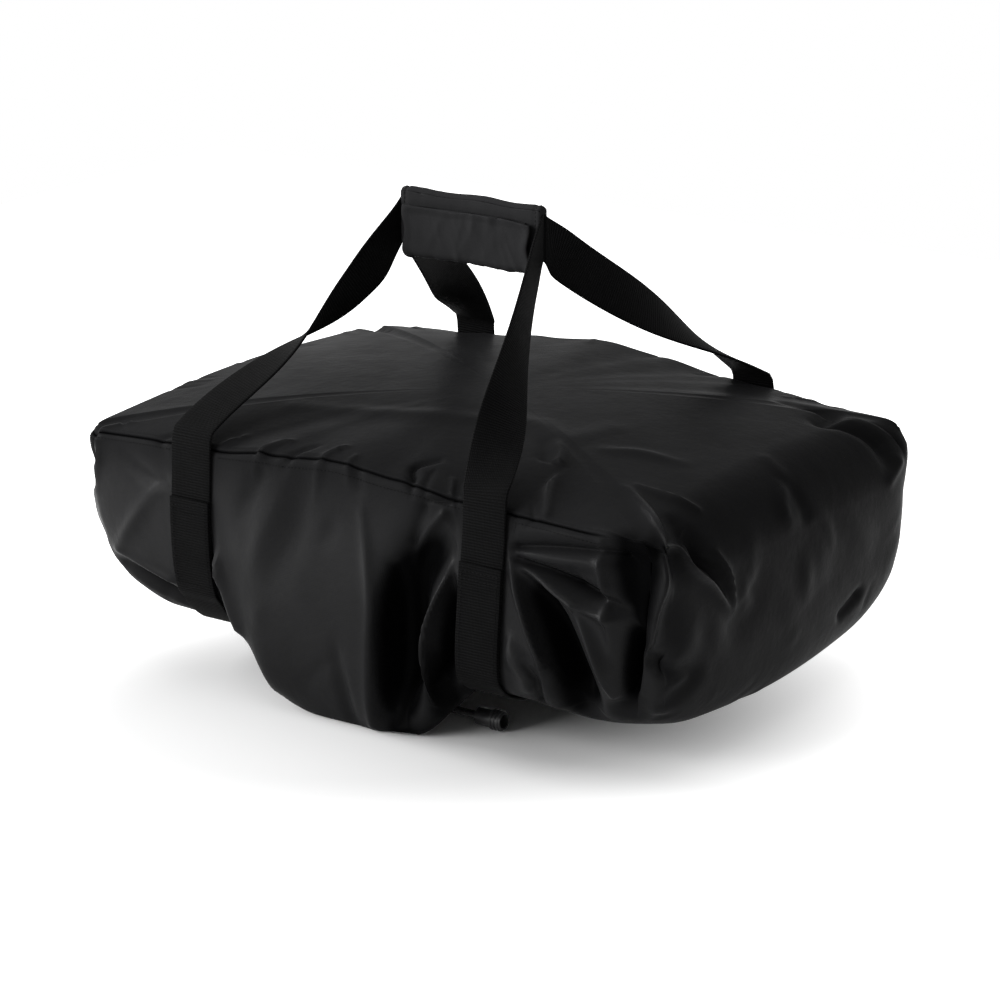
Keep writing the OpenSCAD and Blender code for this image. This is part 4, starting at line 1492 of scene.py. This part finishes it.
def band_mesh(
    name: str,
    centre: Array,
    wide: Array,
    out: Array,
    width: float,
    thick: float,
    finish: bpy.types.Material,
    swell: Array | None = None,
) -> bpy.types.Object:
    """Flat band with rounded edges along a line.

    Args:
        name: Name of the piece.
        centre: Middle line in millimetres.
        wide: Direction of the width at each point.
        out: Direction of the thickness at each point.
        width: Width of the band.
        thick: Its thickness.
        finish: Its material.
        swell: How far the band lies off its line, by point of the line and place across it.

    Returns:
        The piece.
    """
    half, r = width / 2, thick / 2
    count = 9 if swell is None else swell.shape[1]
    flat = np.linspace(-half + r, half - r, count)
    turn = np.radians([60, 30, 0, -30, -60])
    side = [(x, r) for x in flat]
    side += [(half - r + r * math.cos(a), r * math.sin(a)) for a in turn]
    side += [(x, -r) for x in flat[::-1]]
    side += [(r - half - r * math.cos(a), r * math.sin(a)) for a in turn[::-1]]
    side = np.array(side)
    rings = centre[:, None, :] + wide[:, None, :] * side[None, :, :1] + out[:, None, :] * side[None, :, 1:]
    if swell is not None:
        first, last = (np.repeat(swell[:, k : k + 1], len(turn), 1) for k in (0, count - 1))
        rings += out[:, None, :] * np.hstack([swell, last, swell[:, ::-1], first])[..., None]
    return sleeve(name, rings, run_along(np.vstack([side, side[:1]])), run_along(centre), finish)


def tube_mesh(
    name: str,
    line: Array,
    radius: Array,
    sides: int,
    finish: bpy.types.Material,
    closed: bool = False,
    up: tuple = (0.0, 0.0, 1.0),
) -> bpy.types.Object:
    """Round tube along a line.

    Args:
        name: Name of the piece.
        line: Its middle line in millimetres.
        radius: Radius at each point.
        sides: Points around it.
        finish: Its material.
        closed: Whether its end joins its start.
        up: Direction that the line keeps away from.

    Returns:
        The piece.
    """
    along = unit(np.roll(line, -1, 0) - np.roll(line, 1, 0) if closed else np.gradient(line, axis=0))
    across = np.cross(along, up)
    steep = np.linalg.norm(across, axis=1) < 0.2
    across[steep] = np.cross(along[steep], [1.0, 0.0, 0.0])
    across = unit(across)
    over = np.cross(across, along)
    a = np.linspace(0, 2 * np.pi, sides, endpoint=False)
    radius = np.broadcast_to(np.asarray(radius, float), (len(line),))
    ring = across[:, None, :] * np.cos(a)[None, :, None] + over[:, None, :] * np.sin(a)[None, :, None]
    points = line[:, None, :] + ring * radius[:, None, None]
    around = np.linspace(0, 2 * np.pi * float(radius.mean()), sides + 1)
    return sleeve(name, points, around, run_along(line), finish, closed)


@dataclass(frozen=True)
class Bend:
    """Free stretch of a handle: its ways out of seam and grip, and how its width turns upright.

    A late turn is near the grip. Level is the width's X at the seam, and rise the height above it.
    """

    out_of_seam: tuple
    out_of_grip: tuple
    late: float
    level: float
    rise: float = 11.0


HANDLE_BENDS = {
    (Side.FRONT, -1): Bend((-1, 68, 36), (-13, -76, -87), 1.3, 1.0),
    (Side.FRONT, 1): Bend((-22, 66, 56), (13, -42, -32), 0.5, -1.0),
    (Side.BACK, -1): Bend((18, -50, 42), (-12, 36, -30), 0.6, 1.0),
    (Side.BACK, 1): Bend((-18, -94, 61), (4, 37, -36), 0.6, -1.0, 7.0),
}


@dataclass
class Straps:
    """Slings around the bag and handles up to the grip."""

    surface: BagSurface
    finish: bpy.types.Material
    stitches: StitchRows
    grip: tuple
    grip_l: float
    width: float = 40.0
    thick: float = 2.2
    web_room: float = 0.4
    seat: float = 0.15
    sewn_end: float = 6.0
    over_seam: tuple = (3.4, -1.0)
    handle_out: float = 1.6
    held_share: float = 0.22
    stations: tuple = ((3.0, 41.0), (11.0, 33.0))

    def sling_side(self, t: float) -> tuple[Array, Array, Array]:
        """Sling on one wall, from its sewn end to the base's edge.

        Args:
            t: Station of its middle.

        Returns:
            Middle line, width and outward directions.
        """
        w = np.concatenate([np.linspace(2, self.sewn_end, 44), np.linspace(self.sewn_end, BASE_STEP, 60)[1:]])
        n = self.surface.normal(t, w)
        n[-1] = (0, 0, -1)
        lift = self.thick * (0.5 + 1.0 - ease((w - self.sewn_end) / 0.8)) + self.seat
        left, right = self.surface.point(t - 1, w), self.surface.point(t + 1, w)
        wide = unit(right - left)
        middle = self.surface.point(t, w) / 2 + (left + right) / 4
        n = unit(n - wide * (n * wide).sum(1, keepdims=True))
        return middle + n * lift[:, None], wide, n

    def sling(self, name: str, front: float, back: float) -> None:
        """Builds a sling from its front end under the bag to its back end.

        Args:
            name: Name of the frame node that it replaces.
            front: Station on the front.
            back: Station on the back.
        """
        a, wa, na = self.sling_side(front)
        b, wb, nb = self.sling_side(back)
        share = np.linspace(0, 1, 60)[1:-1, None]
        under = a[-1] + (b[-1] - a[-1]) * share
        line = np.vstack([a, under, b[::-1]])
        wide = np.vstack([wa, np.tile([1.0, 0, 0], (len(under), 1)), -wb[::-1]])
        out = np.vstack([na, np.tile([0, 0, -1.0], (len(under), 1)), nb[::-1]])
        obj = band_mesh(name + "_web", line, wide, out, self.width, self.thick, self.finish)
        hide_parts(name)
        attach(obj, "bag")
        self.sew_end(name, a, wa, na)
        self.sew_end(name + "_back", b, wb, nb)

    def sew_end(self, name: str, line: Array, wide: Array, out: Array) -> None:
        """Sews the box of stitches on a sling's doubled end.

        Args:
            name: Start of the stitches' name.
            line: Middle line of the sling.
            wide: Its width's direction.
            out: Its outward direction.
        """
        top, low, bar, margin = 3, 40, 3, 3.5
        face = line + out * (self.thick / 2 + 0.1)
        edge = self.width / 2 - margin
        left, right = face - wide * edge, face + wide * edge
        rows = [left[top:low], right[top:low]]
        for k in (top, top + bar, low - 1):
            rows.append(np.linspace(left[k], right[k], 12))
        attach(self.stitches.sew(name + "_box_stitch", rows), "bag")

    def handle_side(self, t: float, side: Side, end: int) -> tuple[Array, Array]:
        """Handle's middle line from its sewn end to the grip.

        Args:
            t: Station of its middle.
            side: Side of the bag.
            end: -1 for the left end of the grip, 1 for its right one.

        Returns:
            Middle line and width's directions.
        """
        y = float(side.value)
        gx, gy, gz = self.grip
        lane = y * (self.thick + self.web_room) / 2
        w = np.linspace(self.sewn_end, 0.9, 44)
        edge = self.surface.point(t, np.array([0.0]))[0]
        sewn = self.surface.point(t, w) + self.surface.normal(t, w) * (self.thick / 2 + self.seat)
        bend = HANDLE_BENDS[side, end]
        lift = edge + np.array([0, y * self.over_seam[0], self.over_seam[1]])
        foot = edge + np.array([0, y * self.handle_out, bend.rise])
        goal = np.array([gx + end * self.grip_l / 2, gy + lane, gz])
        pulls = (foot, foot + np.array(bend.out_of_seam), goal + np.array(bend.out_of_grip), goal)
        s = np.linspace(0, 1, 84)[:, None]
        weights = ((1 - s) ** 3, 3 * (1 - s) ** 2 * s, 3 * (1 - s) * s**2, s**3)
        free = sum(weight * pull for weight, pull in zip(weights, pulls))
        line = np.vstack([sewn, lift[None], free])
        still, upright = np.zeros(len(sewn) + 1), np.array([0, 0, 1.0])
        turn = np.concatenate([still, ease(s[:, 0] ** bend.late)])[:, None]
        held = np.concatenate([still, ease(1 - (1 - s[:, 0]) / self.held_share)])[:, None]
        wide = np.array([bend.level, 0, 0]) * (1 - turn) + upright * turn
        for _ in range(2):
            k = slice(len(sewn) - 3, len(sewn) + 6)
            line[k] = (line[k] * 2 + line[k.start - 1 : k.stop - 1] + line[k.start + 1 : k.stop + 1]) / 4
        along = unit(np.gradient(line, axis=0))
        wide = unit(wide - along * (wide * along).sum(1, keepdims=True))
        return line, unit(wide * (1 - held) + upright * held)

    def handle(self, name: str, left: float, right: float, side: Side) -> None:
        """Builds a handle from its left sewn end through the grip to its right one.

        Args:
            name: Name of the frame node that it replaces.
            left: Station of its left end.
            right: Station of its right end.
            side: Side of the bag.
        """
        a, wa = self.handle_side(left, side, -1)
        b, wb = self.handle_side(right, side, 1)
        share = np.linspace(0, 1, 40)[1:-1, None]
        line = np.vstack([a, a[-1] + (b[-1] - a[-1]) * share, b[::-1]])
        wide = np.vstack([wa, np.tile([0, 0, 1.0], (len(share), 1)), wb[::-1]])
        out = unit(np.cross(unit(np.gradient(line, axis=0)), wide))
        obj = band_mesh(name + "_web", line, wide, out, self.width, self.thick, self.finish)
        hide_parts(name)
        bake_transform(obj)

    def build(self) -> None:
        """Builds slings and handles."""
        (lf, lb), (rf, rb) = self.stations
        self.sling("left_sling", lf, lb)
        self.sling("right_sling", rf, rb)
        self.handle("front_handle", lf, rf, Side.FRONT)
        self.handle("back_handle", lb, rb, Side.BACK)


@dataclass
class Grip:
    """Padded wrap around both handles and the flap that closes it."""

    centre: tuple
    length: float
    finish: bpy.types.Material
    stitches: StitchRows
    half_h: float = 21.0
    half_t: float = 2.6
    thick: float = 3.0
    flap_length: float = 124.0
    flap_gap: float = 0.4
    flap_front: float = 11.2
    flap_rise: float = 1.76
    flap_rim: float = 7.0
    stitch_in: float = 5.0
    end_in: float = 3.0

    def ruffles(self, along: Array, across: Array, seed: int, count: int) -> Array:
        """Wrinkles of padded cloth, most of them crosswise.

        Args:
            along: Places along the grip in millimetres.
            across: Places around it in millimetres.
            seed: Seed of the random numbers.
            count: How many wrinkles.

        Returns:
            Heights between about -1 and 1, by place along and around.
        """
        draw = np.random.default_rng(seed)
        total = np.zeros((len(along), len(across)))
        for _ in range(count):
            x, y = draw.uniform(along.min(), along.max()), draw.uniform(across.min(), across.max())
            lean, long, wide = draw.uniform(-0.6, 0.6), draw.uniform(10, 26), draw.uniform(2.2, 6.0)
            dx, dy = along[:, None] - x, across[None] - y
            total += draw.uniform(-1, 1) * np.exp(-(((dx + lean * dy) / wide) ** 2) - (dy / long) ** 2)
        return total / max(np.abs(total).max(), 1e-9)

    def wrap(self) -> None:
        """Builds the wrap as a padded sleeve, square below where the flap hangs."""
        gx, gy, gz = self.centre
        r, foot, bend = self.half_t + self.thick, self.half_h - 0.4, 2.6
        arch = np.radians(np.linspace(0, 180, 17))
        turn = np.radians(np.linspace(0, 90, 5))
        side = [(r, bend - foot)] + [(r * math.cos(a), self.half_h + r * math.sin(a)) for a in arch]
        side += [(bend * (1 - math.cos(a)) - r, bend - foot - bend * math.sin(a)) for a in turn]
        side += [(r - bend + bend * math.sin(a), bend * (1 - math.cos(a)) - foot) for a in turn]
        side = np.array([(0.0, y, z) for y, z in side])
        ring = smooth_line(side, 72)[:-1, 1:]
        around = run_along(ring)
        x = np.linspace(-0.5, 0.5, 96) * self.length
        bumps = self.ruffles(x, around, 5, 60)
        size = 1.0 + np.where(bumps > 0, 0.02, 0.10) * bumps
        beyond = np.abs(x) - self.length / 2
        size *= (1.0 - 0.12 * np.exp(-(((beyond + self.stitch_in) / 1.6) ** 2)))[:, None]
        size *= (1.0 - 0.16 * ease((beyond + self.end_in) / self.end_in))[:, None]
        size *= 1.0 + 0.05 * np.sin(x / 9.0 + 0.5)[:, None] * ease(ring[:, 1] / self.half_h)[None]
        places = [0 * size + x[:, None], ring[None, :, 0] * size, ring[None, :, 1] * (0.7 + 0.3 * size)]
        places = np.stack(places, -1)
        places[..., 2] += 0.5 * np.sin(x / 12.0 + 1.0)[:, None] * ease(places[..., 2] / self.half_h)
        places += np.array([gx, gy, gz])
        around = np.append(around, 2 * around[-1] - around[-2])
        obj = sleeve("grip_wrap_cloth", places, around, x, self.finish)
        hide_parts("grip_wrap")
        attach(obj, "grip")
        lines = [np.vstack([places[k], places[k, :1]]) for k in (3, -4)]
        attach(self.stitches.sew("grip_end_stitches", lines), "grip")

    def settled(self, points: Array) -> Array:
        """Lets the flap's free edge wave and its ends hang.

        Args:
            points: Places on the flap in millimetres.

        Returns:
            The moved places.
        """
        x, z = points[..., 0] - self.centre[0], points[..., 2] - self.centre[2]
        loose = ease((z + self.half_h) / (1.6 * self.half_h))
        end = x / (self.flap_length / 2)
        out = np.array(points, float)
        out[..., 2] += loose * (0.7 * np.sin(x / 14.0) + 0.4 * np.sin(x / 6.0 + 1.0) - 1.4 * end**2)
        out[..., 2] += (1 - loose) * 0.4 * np.sin(x / 13.0 + 2.0)
        out[..., 1] -= loose * (0.6 + 0.6 * np.sin(x / 15.0 + 0.7))
        out[..., 0] += end**3 * 1.4 * np.sin(z / 5.0)
        return out

    def flap(self) -> None:
        """Builds the flap from its bead on the wrap's back edge round below and up the front."""
        gx, gy, gz = self.centre
        back, mid = self.half_t + self.thick / 2, self.thick / 2
        low = -self.half_h - self.flap_gap - mid
        round_r = (self.half_t + self.thick + self.flap_front) / 2 - mid
        a = np.radians(np.linspace(0, -180, 26))
        bow = np.stack([back - round_r + round_r * np.cos(a), low + round_r * np.sin(a)], 1)
        rise = np.linspace(low, low + self.flap_rise * self.half_h, 34)[1:]
        section = np.vstack([bow, np.stack([0 * rise + back - 2 * round_r, rise], 1)])
        along = unit(np.gradient(section, axis=0))
        run = run_along(section)
        x = np.linspace(-0.5, 0.5, 75) * (self.flap_length - self.thick)
        below, inside = (run[-1] - run) / self.flap_rim, (x.max() - np.abs(x)) / self.flap_rim
        rim = ease(below)[:, None] * ease(inside)[None]
        ruffle, puff, sink, bead = 1.2, 1.6, 0.7, 9.0
        swell = ruffle * self.ruffles(x, run, 8, 70).T + puff * rim - sink
        swell *= ease(run / bead)[:, None]
        line = np.stack([0 * run + gx, gy + section[:, 0], gz + section[:, 1]], 1)
        out = np.stack([0 * run, along[:, 1], -along[:, 0]], 1)
        wide = np.tile([1.0, 0.0, 0.0], (len(run), 1))
        obj = band_mesh("grip_flap_cloth", line, wide, out, self.flap_length, self.thick, self.finish, swell)
        corners = np.array([v.co for v in obj.data.vertices]) / MM
        obj.data.vertices.foreach_set("co", (self.settled(corners) * MM).astype(np.float32).ravel())
        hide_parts("grip_flap")
        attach(obj, "flap")
        above = out[:, None] * (swell + mid + 0.1)[..., None]
        face = self.settled(line[:, None, :] + wide[:, None] * x[None, :, None] + above)
        lines = [face[12:-3, 3], face[12:-3, -4], face[-4, 3:-3], face[-7, 3:-3]]
        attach(self.stitches.sew("flap_stitches", lines), "flap")

    def build(self) -> None:
        """Builds wrap and flap."""
        self.wrap()
        self.flap()


@dataclass
class Drawcord:
    """Drawcord in the hem, its two tails, bell, knot and lock."""

    mouth: Mouth
    cord: bpy.types.Material
    plastic: bpy.types.Material
    steel: bpy.types.Material
    diameter: float = 4.0
    gap: float = 0.8
    fittings: tuple = ("cord_bell", "cord_lock_barrel", "cord_lock_button")

    def loop(self) -> None:
        """Builds the cord that runs in the hem."""
        line = self.mouth.open_line(self.mouth.notch - 1.0, 260)
        obj = tube_mesh("drawcord_braid", line, self.diameter / 2, 12, self.cord)
        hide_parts("drawcord")
        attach(obj, "bag")

    def tail(self, name: str, side: int, lock: tuple) -> None:
        """Builds one tail from the hem to the bell.

        Args:
            name: Name of the frame node that it replaces.
            side: -1 for the left tail, 1 for the right one.
            lock: Middle of the cord lock in millimetres.
        """
        lx, ly, lz = lock
        m = self.mouth
        route = np.array(
            [
                (-20, -62, 38),
                (-20, -74, 32),
                (-19, -87, 24),
                (-17, -100, 16),
                (-13, -113, 11),
                (-7, -126, lz),
                (2, -137, lz),
                (12, -143, lz),
                (24, ly, lz),
                (lx, ly, lz),
                (58, ly, lz),
                (84, ly, lz),
            ],
            float,
        )
        d = np.gradient(route, axis=0)
        across = unit(np.stack([d[:, 1], -d[:, 0], 0 * d[:, 0]], 1))
        pair = route - across * side * (self.diameter + self.gap) / 2
        start = np.array(
            [
                (m.x + side * m.notch / 2, -m.radius, m.z),
                (m.x + side * m.notch / 3, -m.radius - 0.6, m.z),
                (m.x + side * m.notch / 6, -m.radius - 4.6, m.z - 0.6),
            ]
        )
        line = smooth_line(np.vstack([start, pair]), 150)
        obj = tube_mesh(name + "_braid", line, self.diameter / 2, 14, self.cord)
        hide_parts(name)
        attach(obj, "bag")
        on_it = [] if side < 0 else [frame["nodes"][node] for node in self.fittings]

    def knot(self) -> None:
        """Ties the knot that holds the bell."""
        low, high = corners_mm("cord_knot")
        middle, size = (low + high) / 2, (high - low) / 2
        a = np.linspace(0, 2 * np.pi, 160, endpoint=False)
        r = 0.5 + 0.22 * np.cos(3 * a)
        line = np.stack([0.5 * np.sin(3 * a), r * np.cos(2 * a), r * np.sin(2 * a)], 1) * size * 0.9 + middle
        obj = tube_mesh("cord_knot_braid", line, 1.55, 12, self.cord, True)
        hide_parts("cord_knot")
        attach(obj, "bag")

    def spring(self) -> None:
        """Winds the lock's tapered spring, which flattens under the button."""
        low, high = corners_mm("cord_lock_spring")
        wire, nest, turns = 0.8, 0.2, 3
        middle = middle_mm("cord_lock_button")
        k = np.linspace(0, 1, 120)
        r = high[0] - middle[0] - wire / 2 - (wire + nest) * turns * k
        a = 2 * np.pi * turns * k
        y = low[1] + wire / 2 + (high[1] - low[1] - wire) * k
        line = np.stack([middle[0] + r * np.cos(a), y, middle[2] + r * np.sin(a)], 1)
        obj = tube_mesh("cord_lock_coil", line, wire / 2, 10, self.steel, up=(0.0, 1.0, 0.0))
        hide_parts("cord_lock_spring")
        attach(obj, "cord_lock")
        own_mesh(obj)

    def build(self, lock: tuple) -> None:
        """Builds the cords and finishes bell and lock.

        Args:
            lock: Middle of the cord lock in millimetres.
        """
        self.loop()
        self.tail("cord_tail_left", -1, lock)
        self.tail("cord_tail_right", 1, lock)
        self.knot()
        for node in self.fittings:
            dress(node, self.plastic)
        self.spring()


def dress(node: str, finish: bpy.types.Material) -> None:
    """Gives a frame node its finish.

    Args:
        node: Name of the node.
        finish: Its material.
    """
    mesh = frame["nodes"][node].data
    mesh.materials.clear()
    mesh.materials.append(finish)
    LOG.info("%s: %s", node, finish.name)


@dataclass
class PackedSet:
    """The game inside the bag: ring sections, legs, net and balls."""

    ring: bpy.types.Material
    tube: bpy.types.Material
    head: bpy.types.Material
    foot: bpy.types.Material
    ball: bpy.types.Material
    string: bpy.types.Material
    folds: int = 6
    net_gap: float = 2.4
    knots: tuple = (13, 9)
    net_margin: float = 2.0
    net_slack: float = 1.2
    string_d: float = 2.2

    def net(self) -> None:
        """Builds the folded net as layers of knotted strings."""
        low, high = corners_mm("net")
        pitch = (high[2] - low[2] + self.net_gap) / self.folds
        turn = pitch - self.net_gap / 2
        run = []
        for k in range(self.folds):
            z = low[2] + (pitch - self.net_gap) / 2 + k * pitch
            xs = np.linspace(low[0] + turn, high[0] - turn, self.knots[0])
            run += [(x, z) for x in (xs if k % 2 == 0 else xs[::-1])]
            if k < self.folds - 1:
                way = 1 if k % 2 == 0 else -1
                cx = high[0] - turn if k % 2 == 0 else low[0] + turn
                for a in np.radians([-60, -30, 0, 30, 60]):
                    run.append((cx + way * pitch / 2 * math.cos(a), z + pitch / 2 * (1 + math.sin(a))))
        ys = np.linspace(low[1] + self.net_margin, high[1] - self.net_margin, self.knots[1])
        draw, slack = np.random.default_rng(3), self.net_slack
        points = np.array([(x, y, z + draw.uniform(-slack, slack)) for x, z in run for y in ys])
        obj = mesh_object("net_strings", points, grid_faces(len(run), len(ys), False), self.string)
        wire = obj.modifiers.new("strings", "WIREFRAME")
        wire.thickness = self.string_d * MM
        wire.use_even_offset = False
        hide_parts("net")
        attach(obj, "bag")

    def build(self) -> None:
        """Finishes the pieces of the set."""
        for name, count, finish in (
            ("rim_section", 5, self.ring),
            ("leg_tube", 5, self.tube),
            ("leg_head", 5, self.head),
            ("leg_foot", 5, self.foot),
            ("ball", 3, self.ball),
        ):
            for k in range(1, count + 1):
                dress(f"{name}_{k}", finish)
        dress("net_hooks", self.head)
        self.net()


@dataclass
class Studio:
    """White ground, soft light from the upper left and a long lens."""

    azimuth: float = 34.3
    elevation: float = 17.5
    distance: float = 3.0
    span: float = 0.8333
    aim_z: float = 0.138

    def camera(self) -> None:
        """Places the camera."""
        a, e = math.radians(self.azimuth), math.radians(self.elevation)
        way = Vector((math.sin(a) * math.cos(e), -math.cos(a) * math.cos(e), math.sin(e)))
        data = bpy.data.cameras.new("camera")
        data.sensor_width = 36.0
        data.lens = 36.0 * self.distance / self.span
        data.clip_end = 50.0
        obj = linked("camera", data)
        obj.location = Vector((0, 0, self.aim_z)) + way * self.distance
        obj.rotation_euler = way.to_track_quat("Z", "Y").to_euler()
        bpy.context.scene.camera = obj

    def lamp(self, name: str, place: tuple, size: float, watts: float) -> None:
        """Adds a square light that looks at the bag.

        Args:
            name: Name of the light.
            place: Its place in metres.
            size: Its side in metres.
            watts: Its power.
        """
        data = bpy.data.lights.new(name, "AREA")
        data.size = size
        data.energy = watts
        obj = linked(name, data)
        obj.location = place
        obj.rotation_euler = (Vector(place) - Vector((0, 0, 0.12))).to_track_quat("Z", "Y").to_euler()

    def ground(self) -> None:
        """Adds the white floor, which keeps the shadow near the bag; outside an oval around the bag it glows
        for seen rays, painted light that fades the cast shadow there.
        """
        b = NodeBench("ground")
        b.set(Roughness=1.0, Specular_IOR_Level=0.0, Base_Color=(0.92, 0.92, 0.92, 1.0), Emission_Color=WHITE)
        # Painted light: the glow rises from none inside the oval to full white beyond it, lifting the cast
        # shadow away from the bag.
        oval = b.add("ShaderNodeMapping", vector_type="TEXTURE")
        oval.inputs["Location"].default_value = (-0.015, -0.19, 0.0)
        oval.inputs["Rotation"].default_value = (0.0, 0.0, math.radians(self.azimuth))
        oval.inputs["Scale"].default_value = (0.42, 0.30, 1.0)
        b.link(b.place("Object"), oval, "Vector")
        away = b.add("ShaderNodeVectorMath", operation="LENGTH")
        b.link(oval, away, 0)
        painted_glow = b.add("ShaderNodeMapRange", interpolation_type="SMOOTHSTEP", from_min=0.4, from_max=1.3)
        b.link(away.outputs["Value"], painted_glow, "Value")
        b.feed(Emission_Strength=b.math("MULTIPLY", painted_glow, seen_rays(b.tree)))
        reach, count, below = 1500.0, 8, 0.4
        at = np.linspace(-reach, reach, count)
        points = np.array([(x, y, -below) for x in at for y in at])
        mesh_object("ground", points, grid_faces(count, count, False), b.material)

    def world(self) -> None:
        """Sets the white surroundings."""
        world = bpy.data.worlds.new("white")
        bpy.context.scene.world = world
        world.use_nodes = True
        tree = world.node_tree
        back, bright = tree.nodes["Background"], tree.nodes.new("ShaderNodeBackground")
        for node, strength in ((back, 0.28), (bright, 1.0)):
            node.inputs["Color"].default_value = WHITE
            node.inputs["Strength"].default_value = strength
        mix = tree.nodes.new("ShaderNodeMixShader")
        for k, source in enumerate((seen_rays(tree), back.outputs[0], bright.outputs[0])):
            tree.links.new(source, mix.inputs[k])
        tree.links.new(mix.outputs[0], tree.nodes["World Output"].inputs["Surface"])

    def build(self) -> None:
        """Sets up camera, lights, floor and surroundings."""
        bpy.context.scene.view_settings.view_transform = "Standard"
        self.camera()
        self.ground()
        self.world()
        self.lamp("over", (-0.4, 0.5, 2.6), 3.2, 27.0)
        self.lamp("left", (-2.3, -0.7, 1.1), 1.2, 46.0)
        self.lamp("front", (-1.4, -2.7, 1.2), 1.8, 84.0)


def main() -> None:
    """Builds the whole scene."""
    high = corners_mm("top_panel")[1]
    base_low, base_high = corners_mm("base_panel")
    surface = BagSurface(
        half_l=high[0],
        half_w=high[1],
        corner_r=16.0,
        base_right=base_high[0],
        base_half_w=base_high[1],
        base_r=32.0,
        corner_z=200.0,
        base_z=base_low[2],
        crown_h=35.0,
        sling_left=-164.0,
        sling_right=124.0,
        web_half=20.0,
    )
    nylon = Nylon("nylon", 0.0105).material()
    web = Webbing("webbing", 0.0028).material()
    thread = StitchRows(Moulded("thread", grey(0.006), 0.7, specular=0.04).material())
    plastic = Moulded("black_plastic", grey(0.02), 0.42).material()
    tape = Pile("tape", 0.01).material()
    hem_low, hem_high = corners_mm("mouth_hem")
    bead = (hem_high[2] - hem_low[2]) / 2
    radius = (hem_high[1] - hem_low[1]) / 2 - bead
    hem = middle_mm("mouth_hem")
    mouth = Mouth(
        x=hem[0],
        straight=hem_high[0] - hem_low[0] - 2 * radius - 2 * bead,
        radius=radius,
        z=hem[2],
        bead=bead,
        notch=26.0,
    )
    BagCloth(surface, nylon).build(mouth, thread)
    wrap_low, wrap_high = corners_mm("grip_wrap")
    grip = (*middle_mm("grip_wrap")[:2], middle_mm("loop_tape")[2])
    grip_l = wrap_high[0] - wrap_low[0]
    Straps(surface, web, thread, grip, grip_l).build()
    Grip(grip, grip_l, Nylon("wrap", 0.02).material(), thread).build()
    dress("hook_tape", tape)
    dress("loop_tape", tape)
    cords = Drawcord(mouth, Braid("cord", 0.03).material(), plastic, Wire("spring_steel").material())
    cords.build(tuple(middle_mm("cord_lock_barrel")))
    PackedSet(
        ring=Moulded("rim_plastic", (0.80, 0.50, 0.02), 0.35).material(),
        tube=Moulded("leg_plastic", grey(0.03), 0.4).material(),
        head=plastic,
        foot=Moulded("foot_rubber", grey(0.012), 0.7).material(),
        ball=Moulded("ball_rubber", (0.84, 0.56, 0.03), 0.55, 420.0, 0.4).material(),
        string=Braid("netting", 0.5).material(),
    ).build()
    Studio().build()


if __name__ == "__main__":
    main()
